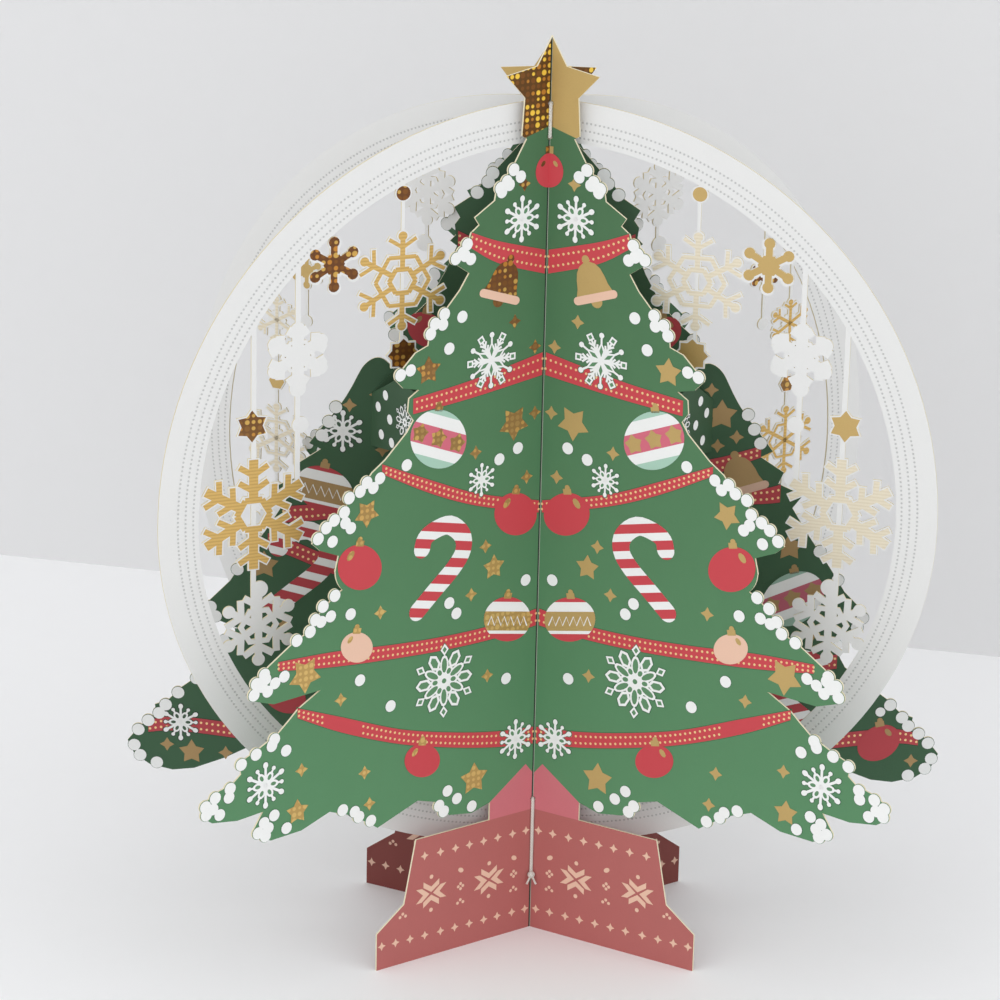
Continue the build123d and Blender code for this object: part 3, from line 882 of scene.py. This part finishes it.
front_garlands = [
    [(0.65, 170.5, 164.8), (13.8, 174.4, 169.2), (21.7, 177.6, 173.9)],
    [(0.65, 145.9, 140.4), (20.8, 142.5, 138.2), (37.2, 140.8, 137.1)],
    [(0.65, 109.6, 106.6), (18.2, 114.5, 111.5), (31.9, 120.3, 117.1), (45.6, 126.6, 124.3)],
    [(0.65, 82.5, 78.3), (12.7, 81.0, 77.5), (26.8, 81.0, 77.6), (41.9, 82.0, 78.5),
     (58.2, 83.7, 80.0), (73.6, 84.4, 82.2)],
    [(0.65, 52.4, 48.1), (11.5, 53.6, 49.6), (24.3, 56.2, 52.4), (39.5, 60.4, 56.7),
     (55.8, 67.0, 63.2), (68.3, 72.0, 69.6)],
]
print("Garlands on the front tree:", len(front_garlands))

# %% [markdown]
# Now one wing of the tree is drawn with these shapes. The other wing is its mirror image,
# and the same drawing goes on the front tree and on the tree at the back.

# %% Draw a wing of the full tree
four_points = [
    (7.0, 186.9), (8.9, 154.6), (2.9, 147.6), (2.5, 131.5), (19.3, 124.7), (4.4, 116.1), (15.9, 101.1),
    (49.5, 51.8), (67.1, 56.5), (48.0, 43.6), (45.6, 90.7), (56.4, 71.5), (19.8, 89.9), (14.6, 68.5)]
five_points = [
    (33.1, 146.8, 3.3, 0), (8.5, 130.0, 4.1, 36), (13.4, 95.5, 3.0, 0), (66.3, 79.7, 4.3, 36),
    (17.9, 43.0, 3.9, 0), (68.2, 46.4, 3.0, 0), (49.7, 115.6, 3.3, 36)]
free_dots = [
    (23.9, 158.1), (27.4, 151.1), (7.2, 123.7), (12.5, 121.9), (38.8, 125.2), (51.1, 75.2), (42.4, 66.9),
    (9.1, 66.6), (59.4, 92.6), (53.9, 92.0), (75.2, 64.6), (71.4, 62.3), (25.6, 41.6), (22.8, 39.0),
    (18.4, 36.0), (4.0, 90.4), (26.1, 89.1), (24.0, 86.1), (8.2, 188.8), (11.3, 187.3), (13.4, 185.9)]
inner_snow = [
    (91.2, 52.4), (89.4, 50.6), (86.9, 54.3), (75.3, 64.3), (76.2, 44.2), (77.4, 45.8), (74.6, 47.0),
    (71.2, 43.0), (78.0, 79.4), (76.5, 77.9), (74.5, 79.5), (72.0, 80.6), (77.0, 81.0), (29.3, 157.1),
    (38.1, 147.7), (46.2, 123.4), (48.0, 121.4), (55.6, 114.4), (54.1, 112.9), (59.1, 110.6), (62.0, 91.8),
    (21.8, 171.4), (23.4, 172.4), (52.2, 42.6)]
edge_snow = [
    (10.2, 190.7), (12.1, 188.2), (13.9, 186.9), (22.9, 175.0), (24.2, 173.2), (26.0, 172.1), (28.9, 159.5),
    (31.5, 157.6), (32.7, 155.4), (40.9, 147.0), (49.8, 123.0), (51.6, 121.2), (54.6, 120.2), (55.9, 117.0),
    (58.6, 115.6), (60.8, 114.2), (63.0, 112.0), (58.3, 97.4), (61.5, 95.4), (63.6, 92.6), (65.0, 90.0),
    (68.6, 88.6), (77.4, 82.2), (79.6, 80.4), (80.2, 77.8), (74.6, 65.8), (79.6, 63.2), (83.6, 61.6),
    (86.6, 56.4), (90.6, 55.0), (93.2, 53.4), (93.0, 51.4), (79.0, 43.6), (77.0, 42.4), (55.6, 43.8),
    (51.0, 41.0), (47.6, 39.2), (28.0, 38.4), (26.6, 36.6)]
snow_radius = 1.45


def snow_dots(sheets, places, radius=snow_radius, step=4, outline=0.14):
    """White dots, each a hair higher than the last, so that overlapping ones never mix."""
    for number, place in enumerate(places):
        lift = step + 0.09 * (number % 9)
        if outline:
            dot(sheets["shadow"], place, radius + outline, step - 1.9 + 0.09 * (number % 9), 14)
        dot(sheets["white"], place, radius, lift, 16)


upper_vee = [(0, 0.35), (2.3, 1.9), (2.3, 3.35), (0, 1.75), (-2.3, 3.35), (-2.3, 1.9)]
outer_vee = [(0.5, 0), (2.7, -1.75), (4.4, -1.85), (2.4, 0), (4.4, 1.85), (2.7, 1.75)]


def dot_group(ink, place, offsets):
    """A small cluster of peach dots."""
    for aside, up in offsets:
        dot(ink, (place[0] + aside, place[1] + up), 0.42, 1, 8)


def base_print(sheets):
    """Peach stars, flowers of four vees and dots on the base."""
    ink = sheets["peach"]
    for out in (2.0, 6.0, 10.4, 14.6, 18.8, 22.9, 27.3, 31.9):
        star(ink, (out, 25.7 + 0.022 * out), 1.15, 4, 0.46, 1)
    for out in (1.8, 5.7, 10.1, 14.1, 18.4, 22.7, 26.9, 31.5, 35.8, 40.0, 44.0):
        star(ink, (out, 5.0 + 0.022 * out), 1.15, 4, 0.46, 1)
    for flower in ((12.8, 15.5), (29.8, 16.2)):
        for turn in (0, 180):
            patch(ink, upper_vee, 1, flower, turn)
            patch(ink, outer_vee, 1, flower, turn)
        for rise in (-4.3, 4.3):
            dot(ink, (flower[0], flower[1] + rise), 0.55, 1, 10)
    for out, up in ((5.4, 15.2), (21.2, 15.9)):
        dot(ink, (out, up + 4.2), 0.8, 1, 12, 0.8, 0.0, 0.3)
        dot_group(ink, (out, up), ((-0.68, 0), (0.68, 0), (0, 0.66), (0, -0.66)))
        dot_group(ink, (out, up - 4.0), ((-0.8, -0.25), (0, 0.45), (0.8, -0.25)))
    dot_group(ink, (38.0, 12.4), ((-0.8, -0.25), (0, 0.45), (0.8, -0.25)))


def tree_drawing(sheets):
    """The whole print of one wing."""
    for rows in front_garlands:
        garland(sheets, rows, 1, (50.5, 61.0) if rows[0][1] < 60 else None)
    for place in four_points:
        star(sheets["gold"], place, 1.75, 4, 0.52, 1)
    for out, up, radius, turn in five_points:
        star(sheets["gold"], (out, up), 1.06 * radius, 5, 0.56, 3, turn)
    berry_flake(sheets, (7.6, 178.8), 5.4, 5)
    berry_flake(sheets, (17.5, 117.8), 4.0, 5)
    berry_flake(sheets, (5.9, 50.4), 5.0, 5)
    berry_flake(sheets, (77.0, 55.0), 5.6, 5)
    window_flake(sheets, (15.4, 146.4), 7.0, 5)
    lace_flake(sheets, (27.2, 69.9), 9.3, 5)
    bell(sheets, (10.4, 170.1), 19, 4)
    striped_ball(sheets, (30.0, 129.9), 7.9, 7.1, 5)
    plain_ball(sheets, "red", (7.4, 107.5), 6.2, 5.3)
    plain_ball(sheets, "red", (51.5, 102.9), 6.1, 5.5)
    wave_ball(sheets, (9.1, 81.6), 6.9, 5.6, 5)
    plain_ball(sheets, "peach", (52.1, 83.5), 4.45, 3.75, 5)
    plain_ball(sheets, "red", (33.1, 51.1), 5.1, 4.25, 5)
    cane(sheets)
    snow_dots(sheets, free_dots)
    snow_dots(sheets, inner_snow, snow_radius, 5)
    snow_dots(sheets, edge_snow, 1.5, 6, 0.0)
    base_print(sheets)


ink_names = ("shadow", "white", "green", "red", "peach", "mint", "pink", "dots", "gold")
full_wing = {name: bmesh.new() for name in ink_names}
tree_drawing(full_wing)
half_ball_start = 0.22
top_half = bmesh.new()
dot(top_half, (0.0, 189.3), 4.0, 5, 36, 4.1 / 4.0)
cut_off(top_half, (half_ball_start, 0, 0), (-1, 0, 0))
pour(full_wing["red"], top_half)
block(full_wing["gold"], (0.75, 194.1), 1.7, 1.0, 6)
dot(full_wing["gold"], (1.9, 191.0), 0.5, 6, 8, 1.6, 40)
print("Faces in each ink:", {name: len(sheet.faces) for name, sheet in full_wing.items()})

# %% [markdown]
# The darker middle tree shows other parts of the same set of ornaments between the two
# trees. Its two wings share a part of the print, and each adds its own short lists.

# %% Draw the wings of the middle tree
middle_snow = [
    (12.7, 187.9), (13.7, 185.8), (16.2, 183.2), (34.6, 148.6), (33.0, 147.2), (48.2, 130.6), (49.8, 127.0),
    (51.4, 123.6), (77.6, 80.0), (76.4, 77.6), (66.6, 96.8), (71.2, 89.6), (81.0, 61.6), (85.4, 57.8),
    (88.4, 54.6), (90.0, 52.4), (92.6, 50.4), (95.0, 48.0), (96.0, 44.0), (94.6, 41.4), (90.6, 39.6)]
shared_garlands = [
    [(0.3, 168.0, 163.4), (11.0, 170.0, 165.8), (20.4, 174.0, 170.4)],
    [(0.3, 140.0, 135.4), (14.0, 140.6, 136.4), (27.0, 145.4, 141.6)],
    [(0.3, 50.6, 46.8), (40.0, 47.0, 43.2), (66.0, 49.6, 45.9), (85.0, 51.6, 47.9), (92.6, 50.4, 47.4)],
]
shared_flakes = [(12.0, 154.0, 5.0), (20.0, 82.0, 6.0), (48.0, 56.0, 5.0)]
shared_stars = [(22.0, 120.0, 3.6), (36.0, 78.0, 3.4), (10.0, 92.0, 3.0)]
shared_sparks = [(8.0, 126.0), (18.0, 134.0), (30.0, 92.0), (26.0, 54.0), (12.0, 72.0)]
left_wing = {
    "garlands": [
        [(0.3, 101.0, 97.0), (24.0, 101.6, 97.6), (45.9, 106.5, 102.5), (54.1, 106.3, 102.3),
         (60.5, 105.6, 101.6)],
        [(44.0, 92.0, 88.0), (48.6, 93.2, 89.2), (58.8, 97.4, 93.4), (64.0, 98.9, 94.9)]],
    "flakes": [(46.5, 124.8, 5.0), (84.8, 50.2, 4.6)],
    "stars": [(64.9, 90.9, 3.4), (82.2, 42.6, 3.0)],
    "sparks": [(34.8, 125.2), (45.0, 131.2), (38.7, 133.9), (37.2, 120.4), (88.1, 44.4), (74.0, 42.6),
               (60.0, 76.0)],
}
right_wing = {
    "garlands": [
        [(0.3, 117.0, 113.0), (20.0, 116.4, 112.4), (40.0, 119.6, 115.8), (46.6, 121.4, 118.2),
         (51.6, 122.9, 120.1)],
        [(30.0, 112.0, 108.0), (50.6, 112.3, 108.5), (56.6, 113.4, 109.0)],
        [(0.3, 66.0, 62.0), (30.0, 64.4, 60.6), (54.0, 68.6, 64.8), (72.0, 70.7, 67.1)]],
    "flakes": [(30.0, 112.0, 5.0)],
    "stars": [(42.0, 130.5, 3.6), (59.4, 97.9, 3.4)],
    "sparks": [(39.4, 136.6), (41.3, 122.9), (45.7, 125.1), (91.1, 43.4), (66.0, 76.0)],
}


def middle_drawing(sheets, side):
    """The print of one wing of the middle tree."""
    own = left_wing if side < 0 else right_wing
    for rows in shared_garlands + own["garlands"]:
        garland(sheets, rows, 1)
    for out, up, radius in shared_flakes + own["flakes"]:
        berry_flake(sheets, (out, up), radius, 5)
    for out, up, radius in shared_stars + own["stars"]:
        star(sheets["gold"], (out, up), 1.06 * radius, 5, 0.56, 3)
    for place in shared_sparks + own["sparks"]:
        star(sheets["gold"], place, 1.75, 4, 0.52, 1)
    snow_dots(sheets, middle_snow, 1.5, 6, 0.0)
    plain_ball(sheets, "red", (27.2, 150.0), 4.6, 4.2)
    if side < 0:
        wave_ball(sheets, (50.6, 110.1), 6.8, 5.8, 5)
        cane(sheets, (27.4, -8.6))
        plain_ball(sheets, "red", (60.0, 58.0), 5.2, 4.6, 5)
    else:
        bell(sheets, (45.3, 121.0), 17, 5)
        striped_ball(sheets, (60.7, 84.8), 7.4, 6.8, 5)
        plain_ball(sheets, "red", (83.1, 48.0), 5.1, 4.6, 5)
        cane(sheets, (34.2, -38.6))
        snow_dots(sheets, [(83.1, 56.0)], 1.2)


left_middle = {name: bmesh.new() for name in ink_names}
right_middle = {name: bmesh.new() for name in ink_names}
middle_drawing(left_middle, -1)
middle_drawing(right_middle, 1)
print("Middle tree drawn")

# %% [markdown]
# On a real card one gold foil is pressed on everywhere. Seen from one place it glitters on
# the wings that face the left light and lies even on the others, so here these looks are
# painted reflection in more than one finish. The frame's big flakes have fine ribs pressed
# into their foil, with painted shade in the grooves.

# %% Mix the foils
def foil_material(name, glint_heights, tint, painted_dark_tone, metal=0.45, ribs=0.0):
    """Gold foil: painted glints above a height or an even painted sheen, plain or with fine pressed ribs
    that have painted shade in their grooves.
    """
    material, tree, shader = new_material(name)
    out, up = leaf_places(tree, spine_middle)[:2]
    paper = use_group(tree, fibre, {"Mottle": 0.08})
    colour = tint
    if glint_heights:
        # Painted reflection: above a height the foil turns dark with bright glinting grains.
        grains = foil_grid(tree, out, up)
        high = add(tree, "ShaderNodeMapRange", "high up", {"Value": up},
                   {"From Min": glint_heights[0], "From Max": glint_heights[1]})
        base = mixed(high.outputs[0], (0.50, 0.32, 0.10, 1.0), painted_dark_tone)
        glints = mixed(high.outputs[0], tint, painted_glint(grains.outputs["Tone"]))
        colour = mixed(grains.outputs["Grain"], base, glints)
    height = paper.outputs["Height"]
    if ribs:
        rib = maths("ABSOLUTE", maths("SINE", times(up, math.pi / ribs)))
        # Painted shade in the pressed grooves between the ribs.
        groove = times(minus(1.0, rib), 0.45)
        colour = mixed(groove, colour, painted_dark_tone)
        height = rib
    tree.links.new(shaded(colour, paper.outputs["Shade"]), shader.inputs["Base Color"])
    relief(shader, "tooth", height, 0.3, 0.00008)
    shader.inputs["Metallic"].default_value = metal
    shader.inputs["Roughness"].default_value = 0.42
    return material


bright_gold = (0.66, 0.45, 0.15, 1.0)
rib_pitch = 0.8 * mm
foil_with_painted_glints = foil_material("foil with painted glints", (0.095, 0.165), bright_gold, (0.16, 0.06, 0.015, 1.0))
frame_foil_with_painted_glints = foil_material("frame foil with painted glints", (0.08, 0.14), bright_gold, (0.14, 0.05, 0.012, 1.0))
foil_with_painted_even_sheen = foil_material("foil with painted even sheen", None, (0.53, 0.365, 0.135, 1.0), (0.3, 0.2, 0.06, 1.0))
dim_foil = foil_material("foil in shade", None, (0.34, 0.22, 0.09, 1.0), (0.2, 0.12, 0.04, 1.0), 0.3)
dot_foil = foil_material("pale foil dots", None, (0.8, 0.56, 0.26, 1.0), (0.5, 0.3, 0.1, 1.0), 0.2)
ribbed_gold = foil_material("ribbed gold foil", None, (0.66, 0.43, 0.13, 1.0), (0.36, 0.2, 0.05, 1.0),
                            0.35, rib_pitch)
ribbed_foil_painted_pale = foil_material("ribbed foil with painted pale reflection", None, (0.74, 0.67, 0.52, 1.0), (0.58, 0.49, 0.33, 1.0),
                             0.1, rib_pitch)
print("Foils ready")

# %% [markdown]
# A print has next to no thickness, yet a flat face on the card would flicker. So each flat
# drawing is drawn up into a closed film and laid just above both faces of each wing. Two of
# these four show it as a mirror image, and there the film's faces are turned outwards again.

# %% Lay the prints on the trees
def thickened(sheet):
    """A flat drawing as closed films, kept as a mesh."""
    grown = bmesh.ops.extrude_face_region(sheet, geom=sheet.faces[:])["geom"]
    lifted = [part for part in grown if isinstance(part, bmesh.types.BMVert)]
    bmesh.ops.translate(sheet, vec=(0, 0, film), verts=lifted)
    bmesh.ops.recalc_face_normals(sheet, faces=sheet.faces[:])
    mesh = bpy.data.meshes.new("film")
    sheet.to_mesh(mesh)
    return mesh


def laid(name, copies, material):
    """One piece from films that are each laid on by a matrix."""
    whole = bmesh.new()
    for mesh, matrix in copies:
        part = bmesh.new()
        part.from_mesh(mesh)
        bmesh.ops.transform(part, matrix=matrix, verts=part.verts[:])
        if matrix.determinant() < 0:
            bmesh.ops.reverse_faces(part, faces=part.faces[:])
        pour(whole, part)
    data = bpy.data.meshes.new(name)
    whole.to_mesh(data)
    whole.free()
    data.materials.append(material)
    piece = placed(name, data)
    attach(piece, "root")
    return piece


def print_leaf(leaf, films, inks, foils):
    """Lays every ink on both wings and both faces of a leaf; foils are left and right."""
    made = 0
    for ink in ink_names:
        groups = [("left_foil", (-1,), foils[0]), ("right_foil", (1,), foils[1])]
        if ink == "dots":
            groups = [("gold_dots", (-1, 1), dot_foil)]
        elif ink != "gold":
            groups = [(ink, (-1, 1), inks[ink])]
        for label, sides, finish in groups:
            copies = [(films[side][ink], leaf_frame(leaf, side, face)) for side in sides
                      for face in (-1, 1) if len(films[side][ink].polygons)]
            if copies:
                piece = laid(leaf.replace("_leaf", "_") + label + "_print", copies, finish)
                made += sum(len(face.vertices) - 2 for face in piece.data.polygons)
    return made


full_films = {name: thickened(sheet) for name, sheet in full_wing.items()}
left_films = {name: thickened(sheet) for name, sheet in left_middle.items()}
right_films = {name: thickened(sheet) for name, sheet in right_middle.items()}
both_wings = {-1: full_films, 1: full_films}
two_middles = {-1: left_films, 1: right_films}
print("Front tree print, triangles:", print_leaf(
    "front_tree_leaf", both_wings, front_inks, (foil_with_painted_glints, foil_with_painted_even_sheen)))
print("Back tree print, triangles:", print_leaf(
    "back_tree_leaf", both_wings, back_inks_in_painted_shade, (foil_with_painted_even_sheen, foil_with_painted_glints)))
print("Middle tree print, triangles:", print_leaf(
    "middle_tree_leaf", two_middles, middle_inks_in_painted_shade, (dim_foil, dim_foil)))

# %% [markdown]
# Some of the frame's hanging pieces are foiled. The foil stops a little short of the cut
# edge, so a white border stays round it. The big flakes have fine pressed ribs, gold on
# the left wing and a painted cream reflection on the right one, where the light meets them
# at another angle.

# %% Foil the frame's flakes, stars and beads
foil_border = 0.3
foil_step = 1
foil_twig_lean = 58


def six_sides(sheet, place, outer, inner, step):
    """A six-sided ring as six bars, which leaves its middle open."""
    flat = math.cos(math.radians(30))
    middle = (outer + inner) / 2 * flat
    width = (outer - inner) * flat - 2 * foil_border
    for arm in range(6):
        block(sheet, armed(place, middle, 60 * arm), 2 * middle * math.tan(math.radians(30)) + 0.1,
              width, step + 0.1 * (arm % 2), 60 * arm + 90)


def foil_flake(sheet, place, radius, stem, twigs, tip=0.0, web=None, hub=None):
    """The foil on a six-armed flake, drawn like the cut flake but slimmer."""
    start = 0.0 if hub is None else hub[1] * math.cos(math.radians(30)) + foil_border
    reach = radius - tip - foil_border
    for arm in range(6):
        turn = 60 * arm
        block(sheet, armed(place, (start + reach) / 2, turn), reach - start, stem - 2 * foil_border,
              foil_step + 0.2, turn)
        if tip:
            dot(sheet, armed(place, radius - tip, turn), tip - foil_border, foil_step + 0.4, 12)
        twig_pairs(sheet, place, radius,
                   [(share, length - foil_border, width - 2 * foil_border)
                    for share, length, width in twigs], foil_step, turn, foil_twig_lean)
    if hub:
        six_sides(sheet, place, hub[0], hub[1], foil_step)
    if web:
        six_sides(sheet, place, web[0], web[1], foil_step + 0.8)


plain_foil = bmesh.new()
star(plain_foil, (71.4, 134.7), 3.8, 6, 0.66, 1)
star(plain_foil, (35.0, 148.3), 3.8, 8, 0.78, 1)
dot(plain_foil, (35.5, 186.4), 1.7, 1, 20)
foil_flake(plain_foil, (52.0, 171.1), 6.8, 2.2, [], 1.6)
dot(plain_foil, (52.0, 171.1), 2.6, 2, 6, 1.0, 30)
ribbed_foil = bmesh.new()
foil_flake(ribbed_foil, (71.0, 113.5), 13.5, 2.8, [(0.42, 4.4, 2.0), (0.7, 4.4, 2.0)], 0.0, None, (5.2, 2.8))
foil_flake(ribbed_foil, (35.5, 165.8), 12.0, 1.8, [(0.66, 4.2, 1.5)], 1.4, (7.4, 5.6), (4.2, 2.2))
back_plain = bmesh.new()
dot(back_plain, (71.0, 127.0), 2.1, 1, 6, 1.0, 30)
foil_flake(back_plain, (62.9, 155.6), 4.6, 1.6, [], 1.2)
dot(back_plain, (62.9, 155.6), 1.9, 2, 6, 1.0, 30)
back_ribbed = bmesh.new()
foil_flake(back_ribbed, (71.0, 142.3), 6.2, 1.4, [(0.6, 2.4, 1.2)], 1.0)
foil_flake(back_ribbed, (71.0, 112.6), 9.0, 1.5, [(0.64, 3.4, 1.3)], 1.2, (5.4, 4.0))
frame_foils = [
    ("front_ring_leaf", "plain_foil", thickened(plain_foil), (frame_foil_with_painted_glints, foil_with_painted_even_sheen)),
    ("front_ring_leaf", "ribbed_foil", thickened(ribbed_foil), (ribbed_gold, ribbed_foil_painted_pale)),
    ("back_ring_leaf", "plain_foil", thickened(back_plain), (foil_with_painted_even_sheen, frame_foil_with_painted_glints)),
    ("back_ring_leaf", "ribbed_foil", thickened(back_ribbed), (ribbed_foil_painted_pale, ribbed_gold)),
]
for leaf, label, mesh, finishes in frame_foils:
    for side, finish in zip((-1, 1), finishes):
        name = leaf.replace("leaf", ("left_", "right_")[side > 0]) + label
        piece = laid(name, [(mesh, leaf_frame(leaf, side, face)) for face in (-1, 1)], finish)
        print(piece.name, len(piece.data.polygons), "faces")

# %% [markdown]
# The struts are cut from a printed sheet as well. Their outer faces show white dots and
# part of a flake. The print is laid on the slanting panel between the strut's two folds.

# %% Print the front struts
strut_off = 0.45
half_strut = 0.15
middle_fold_out = 39.6
tree_fold_out = 33.0


def wing_point(leaf, side, out, off):
    """A point at a distance out on a wing and off its middle plane, seen from above."""
    facts = leaves[leaf]
    turn = math.radians(facts["turns"][0 if side < 0 else 1])
    return Vector((side * (math.cos(turn) * out + math.sin(turn) * off),
                   facts["crease"] - math.sin(turn) * out + math.cos(turn) * off, 0.0))


def strut_frame(side):
    """Matrix from the panel's drawing to the outer face of a front strut, in metres."""
    fold = wing_point("middle_tree_leaf", side, middle_fold_out, -strut_off)
    far = wing_point("front_tree_leaf", side, tree_fold_out, strut_off)
    along = (far - fold).normalized()
    out = Vector((-along.y * side, along.x * side, 0.0))
    out = out if out.x * side > 0 else -out
    turned = Matrix((along, Vector((0, 0, 1)), out)).transposed().to_4x4()
    return Matrix.Scale(mm, 4) @ Matrix.Translation(fold + out * half_strut) @ turned


strut_sheets = {name: bmesh.new() for name in ("white", "shadow", "green")}
strut_snow = [(3.0, 131.9), (8.4, 130.3), (6.3, 135.6), (4.6, 125.6), (9.4, 124.9), (19.8, 137.0)]
snow_dots(strut_sheets, strut_snow, 1.2)
lace_flake(strut_sheets, (15.4, 131.6), 4.6, 5)
for name, sheet in strut_sheets.items():
    mesh = thickened(sheet)
    # The outline and green inks come from the middle tree's darker set, so they carry its painted shade.
    inks = front_inks if name == "white" else middle_inks_in_painted_shade
    piece = laid("front_struts_" + name + "_print",
                 [(mesh, strut_frame(side)) for side in (-1, 1)], inks[name])
    print(piece.name, len(piece.data.polygons), "faces")

# %% [markdown]
# The card stands on a pale table in front of a pale wall. The wall's foot runs a little
# aslant to the camera and shows as a soft line at both sides of the card. From its far
# side the wall is clear, so that the back of the card can be looked at too.

# %% Lay the table and raise the wall
def stage_sheet(name, size, place, turn, colour):
    """A large flat sheet for the table or the wall, not attached to the card."""
    flat = bmesh.new()
    bmesh.ops.create_grid(flat, x_segments=1, y_segments=1, size=size)
    data = bpy.data.meshes.new(name)
    flat.to_mesh(data)
    flat.free()
    data.materials.append(ink_material("pale " + name, colour, 0.8, 0.01))
    sheet = placed(name, data)
    sheet.location = place
    sheet.rotation_euler = turn
    return sheet


def clear_from_behind(sheet):
    """Lets the wall be seen through from its far side, so the card's back can be looked at."""
    tree = sheet.active_material.node_tree
    output = next(node for node in tree.nodes if node.type == "OUTPUT_MATERIAL")
    shader = output.inputs["Surface"].links[0].from_socket
    side = tree.nodes.new("ShaderNodeNewGeometry")
    clear = tree.nodes.new("ShaderNodeBsdfTransparent")
    mix = tree.nodes.new("ShaderNodeMixShader")
    tree.links.new(side.outputs["Backfacing"], mix.inputs[0])
    tree.links.new(shader, mix.inputs[1])
    tree.links.new(clear.outputs[0], mix.inputs[2])
    tree.links.new(mix.outputs[0], output.inputs["Surface"])


wall_middle = Vector((0.012, 0.222, 0.0))
wall_turn = math.radians(-16.6)
stage_sheet("table", 4.0, (0.0, 0.0, 0.0), (0.0, 0.0, 0.0), paint(232, 232, 232))
wall = stage_sheet("wall", 2.0, wall_middle + Vector((0.0, 0.0, 1.9)),
                   (math.radians(90), 0.0, wall_turn), paint(212, 212, 212))
clear_from_behind(wall)
print("Table laid, wall raised")
